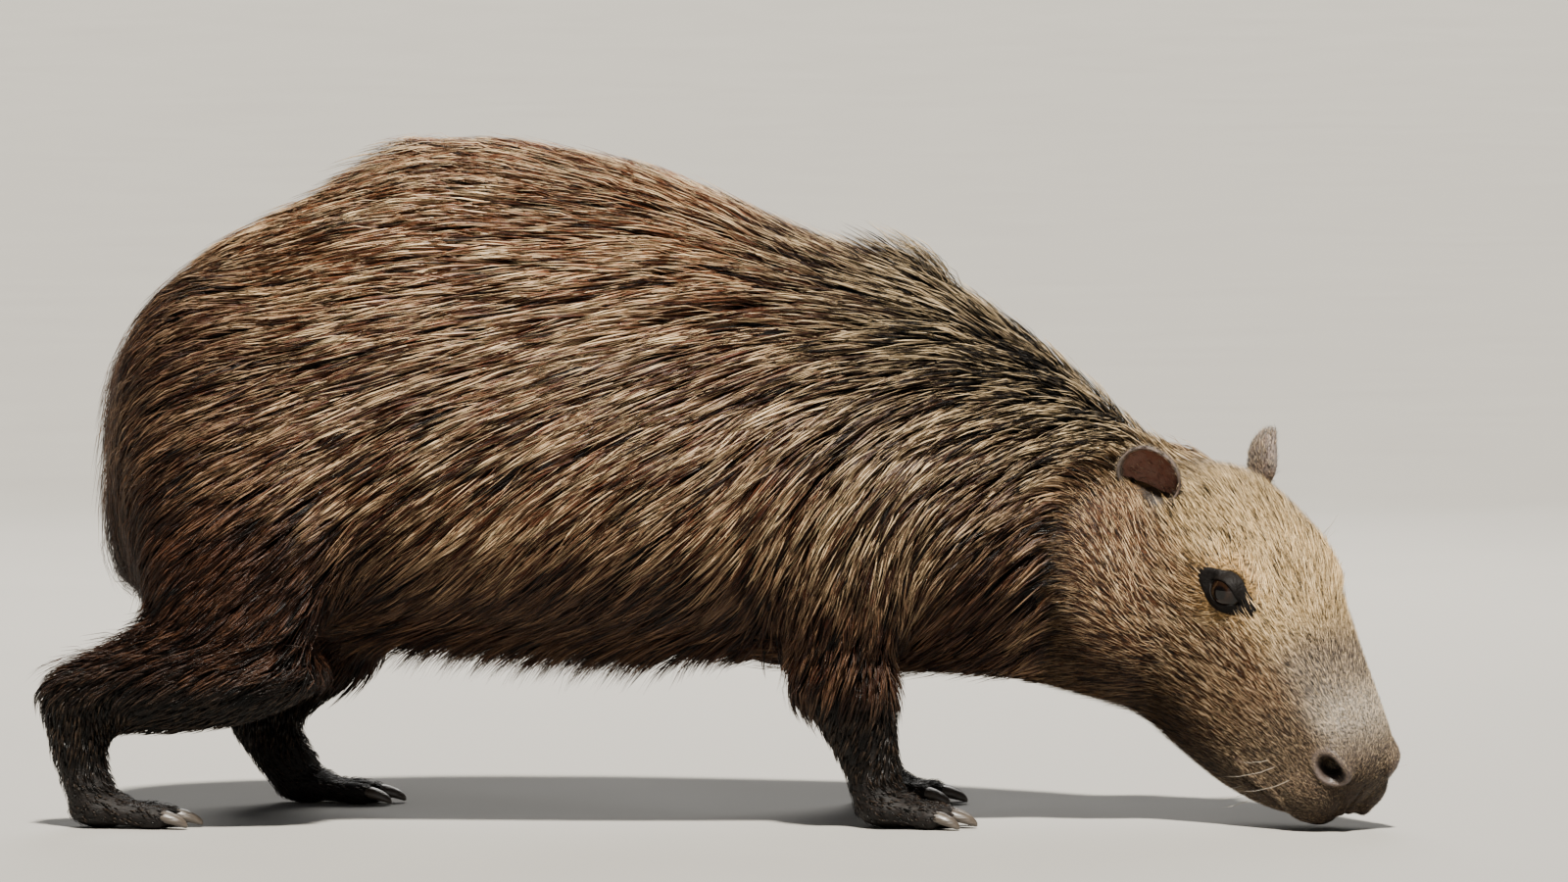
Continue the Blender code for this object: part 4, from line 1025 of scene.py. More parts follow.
def tuft_mesh(name, path, outs, along, widths, shape, uv, colour, chance_and_shading, ridge_share=0.6):
    """One object from the tufts whose rows are given."""
    count, rings = len(path), len(shape) - 1
    aside = np.cross(along, outs)
    half = widths[:, None] * np.array([row[1] for row in shape]) / 2
    left = path - aside * half[:, :, None]
    right = path + aside * half[:, :, None]
    ridge = path + outs * (half * ridge_share)[:, :, None]
    verts = np.stack([left, right, ridge], 2)[:, :rings].reshape(count, rings * 3, 3)
    verts = np.concatenate([verts, path[:, -1:]], 1)
    each = rings * 3 + 1
    verts[:, :, 2] = np.maximum(verts[:, :, 2], 0.0004)
    faces = template(rings)
    corners = (faces[None] + (np.arange(count) * each)[:, None, None]).reshape(-1)
    mesh = bpy.data.meshes.new(name)
    mesh.vertices.add(count * each)
    mesh.vertices.foreach_set("co", verts.astype(np.float32).ravel())
    mesh.loops.add(len(corners))
    mesh.loops.foreach_set("vertex_index", corners.astype(np.int32))
    mesh.polygons.add(len(corners) // 3)
    mesh.polygons.foreach_set("loop_start", np.arange(0, len(corners), 3, dtype=np.int32))
    mesh.update(calc_edges=True)
    steps = np.array([row[0] for row in shape])
    spot = np.concatenate([np.repeat(steps[:rings], 3), [1.0]])
    across = np.concatenate([np.tile([0.0, 1.0, 0.5], rings), [0.5]])
    patch = np.stack([across, spot], 1) * PATCH
    loops = (uv[:, None] + patch[faces.ravel()][None]).reshape(-1, 2)
    mesh.uv_layers.new(name="OFBake").data.foreach_set("uv", loops.astype(np.float32).ravel())
    mesh.shade_smooth()
    obj = bpy.data.objects.new(name, mesh)
    bpy.context.scene.collection.objects.link(obj)
    pelt = mesh.attributes.new("pelt", "FLOAT_COLOR", "POINT")
    pelt.data.foreach_set("color", np.repeat(colour, each, 0).astype(np.float32).ravel())
    strand = np.stack([np.tile(across, count), np.tile(spot, count), np.repeat(chance_and_shading, each)], 1)
    strands = mesh.attributes.new("strand", "FLOAT_VECTOR", "POINT")
    strands.data.foreach_set("vector", strand.astype(np.float32).ravel())
    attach(obj, "root")
    return obj


def scatter(mesh, count, weight, draw):
    """Places and normals all over a mesh, more where the weight of the place is greater."""
    mesh.calc_loop_triangles()
    corners = np.empty(len(mesh.loop_triangles) * 3, dtype=np.int32)
    mesh.loop_triangles.foreach_get("vertices", corners)
    corners = corners.reshape(-1, 3)
    co, no = read(mesh), read(mesh, "normal")
    a, b, c = co[corners[:, 0]], co[corners[:, 1]], co[corners[:, 2]]
    area = np.linalg.norm(np.cross(b - a, c - a), axis=1)
    share = area * weight((a + b + c) / 3)
    pick = draw.choice(len(corners), count, p=share / share.sum())
    u, v = draw.random(count), draw.random(count)
    flip = u + v > 1
    u[flip], v[flip] = 1 - u[flip], 1 - v[flip]
    mix = np.stack([1 - u - v, u, v], 1)[:, :, None]
    return (co[corners[pick]] * mix).sum(1), unit((no[corners[pick]] * mix).sum(1))


def turned(ways, normals, angles):
    c, s = np.cos(angles)[:, None], np.sin(angles)[:, None]
    return ways * c + np.cross(normals, ways) * s


def unwrap(points):
    """Where each root lies on an unwrap of the skin, with an island for each limb and the head."""
    x, y, z = points.T
    head = on_head(points) > 0.5
    ahead, below, aside = from_head(points)
    leg = (z < 0.14) & ~head & ((x < -0.24) | (x > 0.02) & (x < 0.19))
    u = np.where(head, 0.30 + ahead, 0.02 + (x + 0.56) * 0.6)
    turn = np.where(head, np.arctan2(aside, 0.075 - below), np.arctan2(y, z - 0.33))
    v = np.where(head, 0.80 + turn / math.pi * 0.12, 0.28 + turn / math.pi * 0.25)
    middle = np.where(x < 0, np.where(y < 0, -0.48, -0.34), 0.11)
    round_leg = np.arctan2(y - np.sign(y) * 0.12, x - middle) / math.pi
    number_of = (x > 0) * 2 + (y > 0)
    u = np.where(leg, 0.86 + round_leg * 0.10, u)
    v = np.where(leg, 0.06 + number_of * 0.23 + z, v)
    return np.stack([u, v], 1)


print("a long tuft has", len(template(3)), "triangles and a short one", len(template(2)))

# %% [markdown]
# ## The long coat
# Sixty thousand locks cover neck, body, thighs and shoulders. Roots are spread evenly over the
# skin, a little closer where the coat is shorter. Along the belly the lowest locks leave the skin
# and hang as a fringe.

# %% Long locks
draw = np.random.default_rng(7)
LONG_COUNT, GUARD_COUNT = ((54000, 14000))
LONG_LENGTH, LONG_WIDTH = 0.080, 0.0026


def long_size(points):
    """Share of the full length of the long coat."""
    x, y, z = points.T
    size = 1 - 0.35 * ramp(x, 0.16, 0.30) - 0.20 * ramp(x, 0.30, 0.40)
    leg = np.maximum(ramp(x, -0.22, -0.32), ramp(x, 0.0, 0.06) * ramp(x, 0.20, 0.15)) * ramp(z, 0.33, 0.16)
    return size * (1 - 0.45 * leg)


def crests(points):
    """1 where the hair stands up in a crest: on the withers and over the rump."""
    x, y, z = points.T
    top = ramp(np.abs(y), 0.045, 0.015) * ramp(z, 0.38, 0.42)
    return top * (np.exp(-((x - 0.190) / 0.020) ** 2) + 0.7 * np.exp(-((x + 0.215) / 0.025) ** 2))


bpy.context.view_layer.update()
tree = tree_of(skin)
roots, normals = scatter(skin.data, LONG_COUNT, lambda p: (long_coat(p) > 0.35) / long_size(p), draw)
ways = along_surface(lie(roots), normals)
count = len(roots)
clumps = draw.choice(count, count // 7, replace=False)
finder = KDTree(len(clumps))
for i, index in enumerate(clumps.tolist()):
    finder.insert(roots[index], i)
finder.balance()
clump = clumps[[finder.find(spot)[1] for spot in roots.tolist()]]
high, luck = draw.random(count)[clump], draw.random(count)[clump]
swing = (draw.random(count)[clump] - 0.5) * 0.36 + (draw.random(count) - 0.5) * 0.20
ways = turned(ways, normals, swing)
lengths = LONG_LENGTH * long_size(roots) * draw.uniform(0.72, 1.18, count)
fringe = ramp(roots[:, 2], 0.185, 0.155) * ramp(roots[:, 0], -0.27, -0.24) * ramp(roots[:, 0], 0.07, 0.04)
path, outs, along = follow(tree, roots, normals, ways, lengths, LONG_SHAPE, np.clip(fringe, 0, 1))
crest = crests(roots)
reach = LONG_DEPTH * (0.35 + 0.65 * long_coat(roots)) * (0.42 + 0.44 * high + 0.22 * draw.random(count))
reach += 0.026 * crest * high
rise = np.array([row[2] for row in LONG_SHAPE]) * reach[:, None]
path = path + outs * rise[:, :, None]
pull = 0.66 * np.array([row[0] for row in LONG_SHAPE]) ** 1.2
toward = path[clump] - path
toward -= along * (toward * along).sum(2, keepdims=True)
path = path + toward * pull[None, :, None]
widths = LONG_WIDTH * draw.uniform(0.65, 1.25, count) * (0.6 + 0.4 * long_size(roots))
colour = pelt_colour_and_shading(roots)
uv = unwrap(roots)
# The value the shader reads for each lock mixes random tone with the height of its clump: low clumps are painted
# darker as shade, high clumps paler as painted light.
chance_and_shading = 0.50 * luck + 0.20 * high + 0.30 * draw.random(count)
LONG_PIECES = 3
for side, name in ((RIGHT, "right"), (LEFT, "left")):
    mine = np.nonzero(np.sign(roots[:, 1]) == side)[0]
    mine = mine[np.argsort(roots[mine, 0])]
    for k, rows in enumerate(np.array_split(mine, LONG_PIECES)):
        coat = tuft_mesh("coat_" + name + "_" + str(k + 1), path[rows], outs[rows], along[rows], widths[rows],
                         LONG_SHAPE, uv[rows], colour[rows], chance_and_shading[rows])
print(count, "long locks,", count * len(template(3)), "triangles")

# %% [markdown]
# Single guard hairs, thinner than the locks, stand a little out of the coat. They roughen the
# outline of back and rump and draw fine bright lines over the flanks.

# %% Guard hairs
GUARD_SHAPE = ((0.0, 0.8, -0.10), (0.55, 1.0, 0.80), (1.0, 0.0, 1.0))


def guard_hairs(name, side, count):
    roots, normals = scatter(skin.data, count, lambda p: (long_coat(p) > 0.6) * (np.sign(p[:, 1]) == side)
                             * (1 + ramp(p[:, 0], -0.40, -0.48) + crests(p)), draw)
    ways = turned(along_surface(lie(roots), normals), normals, draw.normal(0, 0.13, count))
    lengths = LONG_LENGTH * long_size(roots) * draw.uniform(0.75, 1.15, count)
    hang = 0.8 * ramp(roots[:, 2], 0.20, 0.16) * ramp(roots[:, 0], -0.27, -0.24) * ramp(roots[:, 0], 0.07, 0.04)
    path, outs, along = follow(tree, roots, normals, ways, lengths, GUARD_SHAPE, hang)
    reach = LONG_DEPTH * (0.70 + 0.55 * draw.random(count) ** 2) + 0.018 * crests(roots)
    reach += 0.010 * draw.random(count) ** 2 * ramp(roots[:, 0], -0.42, -0.48)
    path = path + outs * (np.array([row[2] for row in GUARD_SHAPE]) * reach[:, None])[:, :, None]
    obj = tuft_mesh(name, path, outs, along, draw.uniform(0.0007, 0.0013, count), GUARD_SHAPE, unwrap(roots),
                    pelt_colour_and_shading(roots), draw.uniform(0.35, 1.0, count))
    return obj


for side, name in ((RIGHT, "right"), (LEFT, "left")):
    guard_hairs("coat_guard_" + name, side, GUARD_COUNT // 2)
print(GUARD_COUNT, "guard hairs")

# %% [markdown]
# ## Short hair
# The face and lower legs carry short hair, finest on the muzzle and toes. It is shorter than a
# match is thick, and shows where it breaks the outline and catches the light.

# %% Short tufts on head and legs
HEAD_COUNT, LEG_COUNT = ((78000, 12000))


def short_size(points):
    """Length of the hair on the head and lower legs, in metres."""
    ahead, below, aside = from_head(points)
    head = 0.0185 - 0.0115 * ramp(ahead, 0.08, 0.21) - 0.0035 * ramp(ahead, 0.20, 0.25)
    head += 0.007 * ramp(below, 0.05, 0.13) * ramp(ahead, 0.20, 0.10)
    leg = 0.016 - 0.009 * ramp(points[:, 2], 0.08, 0.025)
    share = on_head(points)
    return head * share + leg * (1 - share)


def bare(points):
    """0 on eyelids, nostrils, the hollows of the ears and soles, 1 elsewhere."""
    keep = ramp(points[:, 2], 0.004, 0.010)
    for side, centre in EYES.items():
        offset = points - np.array(centre)
        long_axis, up_axis, _ = eye_axes(side)
        u, v = np.abs(offset @ np.array(long_axis)), np.abs(offset @ np.array(up_axis))
        keep = keep * np.maximum(ramp(v - bare_half(u), 0.0, 0.0015), np.linalg.norm(offset, axis=1) > 0.045)
        keep = keep * ramp(np.linalg.norm(points - np.array(NOSTRILS[side]), axis=1), 0.0105, 0.0135)
        keep = keep * ramp(np.linalg.norm(points - np.array(ear_hollow(side)), axis=1), 0.017, 0.023)
    return keep


def short_tufts(name, count, weight, width, shape=SHORT_SHAPE):
    roots, normals = scatter(skin.data, count, weight, draw)
    ways = turned(along_surface(lie(roots), normals), normals, draw.normal(0, 0.16, count))
    lengths = short_size(roots) * draw.uniform(0.7, 1.3, count)
    path, outs, along = follow(tree, roots, normals, ways, lengths, shape, np.zeros(count))
    reach = 0.0006 + 0.19 * lengths * draw.uniform(0.5, 1.3, count)
    path = path + outs * (np.array([row[2] for row in shape]) * reach[:, None])[:, :, None]
    widths = width * (0.35 + lengths / 0.016) * draw.uniform(0.7, 1.2, count)
    obj = tuft_mesh(name, path, outs, along, widths, shape, unwrap(roots), pelt_colour_and_shading(roots),
                    draw.random(count))
    return obj


head_fur, leg_fur = [], []
for side, name in ((RIGHT, "right"), (LEFT, "left")):
    head_fur.append(short_tufts(
        "face_fur_" + name, HEAD_COUNT // 2,
        lambda p: bare(p) * (on_head(p) > 0.12) * (np.sign(from_head(p)[2]) == -side) / short_size(p),
        0.00062, FACE_SHAPE))
    leg_fur.append(short_tufts(
        "leg_fur_" + name, LEG_COUNT // 2,
        lambda p: bare(p) * (long_coat(p) < 0.6) * (on_head(p) < 0.2) * (np.sign(p[:, 1]) == side),
        0.0014))
print(HEAD_COUNT, "tufts on the head,", LEG_COUNT, "on the legs")

# %% [markdown]
# ## Whiskers and the hair on the ears
# Stiff pale whiskers fan out of the upper lip and chin, with a few over each eye. They are the
# same solid tufts, drawn long and thin. The backs of the ears carry fine grey hair that runs over
# the rim, and a few hairs of the same length are scattered over the cup.

# %% Whiskers
WHISKER_SHAPE = ((0.0, 1.0, 0.0), (0.30, 0.85, 0.0), (0.65, 0.6, 0.0), (1.0, 0.0, 0.0))
WHISKERS = (  # how many, place on the head, its spread, the way they point, length
    (7, (0.235, 0.060, 0.046), (0.018, 0.014, 0.004), (0.15, 0.22, 1.0), 0.050),
    (4, (0.222, 0.108, 0.030), (0.014, 0.006, 0.008), (-0.10, 0.55, 0.8), 0.030),
    (4, (0.070, -0.012, 0.060), (0.007, 0.003, 0.004), (-0.35, -0.75, 0.8), 0.034),
)


def whiskers(name, side):
    rows = []
    for count, place, spread, way, length in WHISKERS:
        for _ in range(count):
            spot = in_head(*(a + b * draw.uniform(-1, 1) for a, b in zip(place, spread)), side)
            out = head_way(*way, side)
            root = tree.ray_cast(spot + out * 0.08, -out)[0]
            fan = Vector(draw.normal(0, 0.22, 3))
            rows.append((root - out * 0.002, (out + fan).normalized(), length * draw.uniform(0.6, 1.2)))
    roots, ways = np.array([row[0] for row in rows]), np.array([row[1] for row in rows])
    lengths = np.array([row[2] for row in rows])
    steps = np.array([row[0] for row in WHISKER_SHAPE])
    bend = unit(-0.9 * HEAD_FRAME[0] - 0.3 * HEAD_FRAME[1] + 0 * ways)
    path = roots[:, None] + ways[:, None] * (steps * lengths[:, None])[:, :, None]
    path += bend[:, None] * (steps ** 2 * lengths[:, None] * 0.22)[:, :, None]
    path[:, :, 2] = np.maximum(path[:, :, 2], 0.0015 + 0.004 * draw.random(len(roots))[:, None] * steps)
    outs = np.repeat(unit(np.cross(ways, bend))[:, None], len(steps), 1)
    obj = tuft_mesh(name, path, outs, np.repeat(ways[:, None], len(steps), 1), 0 * lengths + 0.00036,
                    WHISKER_SHAPE, unwrap(roots), np.tile(PELT["brow"], (len(roots), 1)),
                    draw.random(len(roots)), 0.9)
    return obj


def ear_hair(name, side, count):
    ear, axes = EARS[side], np.array(ear_axes(side))
    roots, normals = scatter(ear.data, count, lambda p: 1.0 + 0 * p[:, 0], draw)
    back = normals @ axes[2]
    rim = np.linalg.norm((roots - roots.mean(0)) @ axes[:2].T, axis=1) > 0.021
    keep = (back < 0.05) | rim | (draw.random(count) < 0.15)
    roots, normals, back = roots[keep], normals[keep], back[keep]
    count = len(roots)
    ways = unit(axes[0] + 0.5 * unit((roots - roots.mean(0)) @ axes[:2].T @ axes[:2]) + draw.normal(0, 0.22, (count, 3)))
    ways = along_surface(ways, normals)
    lengths = draw.uniform(0.0045, 0.0085, count)
    path = np.stack([roots, roots + ways * lengths[:, None]], 1)
    path += normals[:, None] * np.stack([0 * lengths - 0.0003, 0.0004 + 0.16 * lengths], 1)[:, :, None]
    colour = np.tile((0.125, 0.100, 0.085, 0.75), (count, 1))
    obj = tuft_mesh(name, path, np.repeat(normals[:, None], 2, 1), np.repeat(ways[:, None], 2, 1),
                    0.0005 + 0 * lengths, FACE_SHAPE, unwrap(roots), colour, draw.random(count))
    return obj


whisker_sets = []
for side, name in ((RIGHT, "right"), (LEFT, "left")):
    whisker_sets.append(whiskers("whiskers_" + name, side))
    head_fur.append(ear_hair("ear_fur_" + name, side, 1800))
print(sum(row[0] for row in WHISKERS), "whiskers on each side")

# %% [markdown]
# ## Finishes
# Wet bristles catch the light along their length. Their colour is darkened towards the root and
# on the low clumps as painted shade in the partings, and the tips of the high clumps are paler,
# partly straw and partly painted light. The same node group turns the pelt's colour into a tuft's
# colour on every coat piece; others make the grain of the skin, the iris, the horn of the claws
# and the leather of the ears. The shader itself stays in each material, so its fixed values can
# be read at a glance.

# %% Node helpers


class Tree:
    """Adds nodes to a tree in a few words, and links what it is given."""

    def __init__(self, tree):
        self.tree = tree

    def add(self, kind, *values, **settings):
        node = self.tree.nodes.new(kind)
        node.location = (180 * len(self.tree.nodes), 0)
        for name, value in settings.items():
            setattr(node, name, value)
        for slot_, value in enumerate(values):
            if value is not None:
                self.give(node.inputs[slot_], value)
        return node

    def give(self, socket, value):
        if isinstance(value, bpy.types.NodeSocket):
            self.tree.links.new(value, socket)
        else:
            socket.default_value = value

    def math(self, operation, a, b=0.5, c=0.5):
        return self.add("ShaderNodeMath", a, b, c, operation=operation).outputs[0]

    def mix(self, share, a, b, blend="MIX"):
        node = self.add("ShaderNodeMix", data_type="RGBA", blend_type=blend)
        for name, value in zip(("Factor", "A", "B"), (share, a, b)):
            sockets = [socket for socket in node.inputs if socket.name == name and socket.enabled]
            self.give(sockets[0], value)
        return [socket for socket in node.outputs if socket.enabled][0]

    def spread(self, value, low, high, new_low=0.0, new_high=1.0):
        node = self.add("ShaderNodeMapRange", value, low, high, new_low, new_high)
        return node.outputs[0]

    def noise(self, vector, scale, detail=3.0, rough=0.55):
        node = self.add("ShaderNodeTexNoise")
        self.give(node.inputs["Vector"], vector)
        self.give(node.inputs["Scale"], scale)
        self.give(node.inputs["Detail"], detail)
        self.give(node.inputs["Roughness"], rough)
        return node.outputs["Fac"]


def effect(name, inputs, outputs):
    """A new node group with its sockets; returns its tree helper, inputs and outputs."""
    tree = bpy.data.node_groups.new(name, "ShaderNodeTree")
    for label, kind in inputs:
        tree.interface.new_socket(label, in_out="INPUT", socket_type="NodeSocket" + kind)
    for label, kind in outputs:
        tree.interface.new_socket(label, in_out="OUTPUT", socket_type="NodeSocket" + kind)
    return Tree(tree), tree.nodes.new("NodeGroupInput").outputs, tree.nodes.new("NodeGroupOutput").inputs


def material(name, **fixed):
    mat = bpy.data.materials.new(name)
    mat.use_nodes = True
    shader = mat.node_tree.nodes["Principled BSDF"]
    for label, value in fixed.items():
        shader.inputs[label.replace("_", " ")].default_value = value
    return mat, Tree(mat.node_tree), shader


def use(nodes, name, **given):
    node = nodes.add("ShaderNodeGroup", node_tree=bpy.data.node_groups[name])
    for label, value in given.items():
        nodes.give(node.inputs[label.replace("_", " ")], value)
    return node.outputs


def stored(nodes, name):
    return nodes.add("ShaderNodeAttribute", attribute_name=name).outputs


def bump(nodes, shader, height, distance, strength=1.0):
    node = nodes.add("ShaderNodeBump")
    node.inputs["Strength"].default_value = strength
    node.inputs["Distance"].default_value = distance
    nodes.give(node.inputs["Height"], height)
    nodes.give(shader.inputs["Normal"], node.outputs[0])


print("helpers for materials ready")

# %% Fur on the tufts
nodes, given, made = effect("wet_bristle", (("Pelt", "Color"), ("Tips", "Float"), ("Strand", "Vector")),
                            (("Color", "Color"), ("Roughness", "Float"), ("Gloss", "Float"),
                             ("Height", "Float")))
across, along, luck = nodes.add("ShaderNodeSeparateXYZ", given["Strand"]).outputs
comb = nodes.add("ShaderNodeCombineXYZ", nodes.math("MULTIPLY_ADD", luck, 61.0, nodes.math("MULTIPLY", across, 4.5)),
                 nodes.math("MULTIPLY", along, 1.6), nodes.math("MULTIPLY", luck, 23.0)).outputs[0]
hairs = nodes.spread(nodes.noise(comb, 1.0, 3.0, 0.6), 0.33, 0.67)
# Tone of each lock: partly random, partly painted shade, darker on low clumps through the stored value and darker
# towards the root, as painted shade in the partings.
shade = nodes.math("MULTIPLY", nodes.spread(luck, 0.25, 0.80, 0.03, 1.9), nodes.spread(hairs, 0.0, 1.0, 0.22, 1.6))
shade = nodes.math("MULTIPLY", shade, nodes.spread(along, 0.08, 0.60, 0.06, 1.0))
grey = nodes.add("ShaderNodeCombineColor", shade, shade, shade).outputs[0]
body_colour = nodes.mix(1.0, given["Pelt"], grey, "MULTIPLY")
# Pale tips: straw tips, strongest on the high clumps, where they are partly painted light.
pale = nodes.math("MULTIPLY", nodes.spread(along, 0.15, 0.75), given["Tips"])
pale = nodes.math("MULTIPLY", pale, nodes.spread(nodes.math("ADD", luck, hairs), 1.14, 1.36, 0.0, 1.3))
nodes.give(made["Color"], nodes.mix(pale, body_colour, (0.96, 0.72, 0.42, 1.0)))
nodes.give(made["Roughness"], nodes.spread(hairs, 0.0, 1.0, 0.46, 0.22))
wet = nodes.spread(given["Tips"], 0.75, 1.1, 0.05, 1.0)
nodes.give(made["Gloss"], nodes.math("MULTIPLY", wet, nodes.spread(luck, 0.35, 0.95, 0.1, 1.0)))
nodes.give(made["Height"], hairs)


def fur_material(name, wet, distance):
    mat, nodes, shader = material(name, Coat_Roughness=0.33, Coat_IOR=1.9, Specular_IOR_Level=0.22)
    pelt = stored(nodes, "pelt")
    fur = use(nodes, "wet_bristle", Pelt=pelt["Color"], Tips=pelt["Alpha"],
              Strand=stored(nodes, "strand")["Vector"])
    nodes.give(shader.inputs["Base Color"], fur["Color"])
    nodes.give(shader.inputs["Roughness"], fur["Roughness"])
    nodes.give(shader.inputs["Coat Weight"], nodes.math("MULTIPLY", fur["Gloss"], wet))
    bump(nodes, shader, fur["Height"], distance)
    return mat


long_fur = fur_material("wet_long_fur", 1.2, 0.0005)
short_fur = fur_material("short_fur", 0.25, 0.0002)
for obj in bpy.data.objects:
    if obj.name.startswith("coat_"):
        obj.data.materials.append(long_fur)
for obj in head_fur + leg_fur:
    obj.data.materials.append(short_fur)
mat, nodes, shader = material("whisker", IOR=1.5)
luck = nodes.add("ShaderNodeSeparateXYZ", stored(nodes, "strand")["Vector"]).outputs[2]
nodes.give(shader.inputs["Base Color"], nodes.mix(nodes.spread(luck, 0.6, 0.8), (0.52, 0.46, 0.38, 1), (0.03, 0.022, 0.018, 1)))
nodes.give(shader.inputs["Roughness"], nodes.spread(luck, 0.0, 1.0, 0.28, 0.40))
for obj in whisker_sets:
    obj.data.materials.append(mat)

# %% [markdown]
# The skin shows between the short tufts, so it carries the same markings and painted light and
# shade; it is darker than the hair, most under the long coat, as painted shade in the partings
# between the tufts. Fine hair that is too flat to need solid tufts is a bump: streaks on body and
# head, specks on the muzzle. The skin round the eyes is bare and black; the mouth's line, the
# lip's cleft, the nostril pits and the hollows of the ears are painted near black as shade, and
# the nostrils' rims are glossier, with a lighter painted wet sheen.

# %% Skin
pelt = skin.data.attributes.new("pelt", "FLOAT_COLOR", "POINT")
pelt.data.foreach_set("color", pelt_colour_and_shading(read(skin.data)).astype(np.float32).ravel())
# Painted shade: the bare skin in the hollow at the foot of each ear is darkened nearly to black.
for side in (RIGHT, LEFT):
    far = np.linalg.norm(read(skin.data) - np.array(ear_hollow(side)), axis=1)
    dark = np.maximum(dark, 0.85 * ramp(far, 0.022, 0.015))
number(skin, "dark", dark)
number(skin, "moist", moist)
number(skin, "short", 1 - long_coat(read(skin.data)))
nodes, given, made = effect("fur_ground", (("Pelt", "Color"), ("Short", "Float"), ("Dark", "Float"),
                                           ("Moist", "Float")),
                            (("Color", "Color"), ("Roughness", "Float"), ("Height", "Float")))
place = nodes.add("ShaderNodeTexCoord").outputs["Object"]
comb = nodes.add("ShaderNodeMapping", place)
comb.inputs["Rotation"].default_value = (0.0, HEAD_PITCH, -HEAD_YAW)
comb.inputs["Scale"].default_value = (0.22, 1.0, 1.0)
specks = nodes.noise(comb.outputs[0], 620.0, 3.0, 0.65)
grain = nodes.noise(place, 260.0, 3.0)
# The skin is darker than the hair above it, most under the long coat: painted shade in the partings between the
# tufts.
tone = nodes.spread(specks, 0.38, 0.62, 0.20, 1.5)
tone = nodes.math("MULTIPLY", tone, nodes.spread(given["Short"], 0.0, 1.0, 0.10, 0.42))
colour = nodes.mix(1.0, given["Pelt"], nodes.add("ShaderNodeCombineColor", tone, tone, tone).outputs[0], "MULTIPLY")
# The nostrils' rims are painted lighter, a painted wet sheen, and made glossier below.
colour = nodes.mix(given["Moist"], colour, (0.110, 0.085, 0.075, 1.0))
colour = nodes.mix(given["Dark"], colour, (0.004, 0.003, 0.003, 1.0))
nodes.give(made["Color"], colour)
rough = nodes.mix(given["Dark"], (0.62, 0.62, 0.62, 1.0), (0.40, 0.40, 0.40, 1.0))
nodes.give(made["Roughness"], nodes.mix(given["Moist"], rough, (0.20, 0.20, 0.20, 1.0)))
nodes.give(made["Height"], nodes.math("ADD", nodes.math("MULTIPLY", specks, 0.7), nodes.math("MULTIPLY", grain, 0.3)))
mat, nodes, shader = material("furred_skin", Specular_IOR_Level=0.25)
pelt = stored(nodes, "pelt")
ground = use(nodes, "fur_ground", Pelt=pelt["Color"], Short=stored(nodes, "short")["Fac"],
             Dark=stored(nodes, "dark")["Fac"], Moist=stored(nodes, "moist")["Fac"])
nodes.give(shader.inputs["Base Color"], ground["Color"])
nodes.give(shader.inputs["Roughness"], ground["Roughness"])
bump(nodes, shader, ground["Height"], 0.0012)
skin.data.materials.append(mat)
print("dark places:", int((dark > 0.5).sum()), "vertices")

# %% Eyes, lids, ears and claws
mat, nodes, shader = material("wet_eye", Coat_Weight=1.0, Coat_Roughness=0.02, Coat_IOR=1.38, Specular_IOR_Level=0.0)
turn = stored(nodes, "gaze")["Fac"]
place = nodes.add("ShaderNodeTexCoord").outputs["Object"]
ramp_node = nodes.add("ShaderNodeValToRGB", nodes.spread(turn, 0.0, 1.2))
stops = ((0.0, (0.002, 0.002, 0.002, 1)), (0.26, (0.003, 0.002, 0.002, 1)), (0.36, (0.013, 0.006, 0.003, 1)),
         (0.62, (0.008, 0.004, 0.0025, 1)), (0.74, (0.003, 0.002, 0.002, 1)), (1.0, (0.004, 0.003, 0.003, 1)))
while len(ramp_node.color_ramp.elements) < len(stops):
    ramp_node.color_ramp.elements.new(0.5)
for element, (where, value) in zip(ramp_node.color_ramp.elements, stops):
    element.position, element.color = where, value
streaks = nodes.spread(nodes.noise(place, 900.0, 2.0), 0.3, 0.7, 0.6, 1.3)
grey = nodes.add("ShaderNodeCombineColor", streaks, streaks, streaks).outputs[0]
nodes.give(shader.inputs["Base Color"], nodes.mix(1.0, ramp_node.outputs[0], grey, "MULTIPLY"))
nodes.give(shader.inputs["Roughness"], nodes.spread(nodes.noise(place, 120.0), 0.3, 0.7, 0.04, 0.09))
eye_mat = mat

mat, nodes, shader = material("black_lid", Specular_IOR_Level=0.12)
place = nodes.add("ShaderNodeTexCoord").outputs["Object"]
wrinkle = nodes.noise(place, 420.0, 4.0)
nodes.give(shader.inputs["Base Color"], nodes.mix(wrinkle, (0.002, 0.0017, 0.0016, 1), (0.006, 0.0045, 0.004, 1)))
nodes.give(shader.inputs["Roughness"], nodes.spread(wrinkle, 0.3, 0.7, 0.50, 0.68))
bump(nodes, shader, wrinkle, 0.0008)
lid_mat = mat

mat, nodes, shader = material("ear_leather", IOR=1.45)
place = nodes.add("ShaderNodeTexCoord").outputs["Object"]
cup = stored(nodes, "cup")["Fac"]
pores = nodes.noise(place, 700.0, 4.0, 0.6)
veins = nodes.noise(place, 90.0, 3.0)
tone = nodes.mix(cup, (0.150, 0.125, 0.110, 1), (0.105, 0.028, 0.012, 1))
tone = nodes.mix(nodes.spread(veins, 0.42, 0.62, 0.0, 0.4), tone, (0.16, 0.085, 0.06, 1))
nodes.give(shader.inputs["Base Color"], nodes.mix(nodes.spread(pores, 0.4, 0.6, 0.0, 0.35), tone, (0.03, 0.02, 0.015, 1)))
nodes.give(shader.inputs["Roughness"], nodes.spread(pores, 0.3, 0.7, 0.45, 0.65))
bump(nodes, shader, pores, 0.0007)
ear_mat = mat

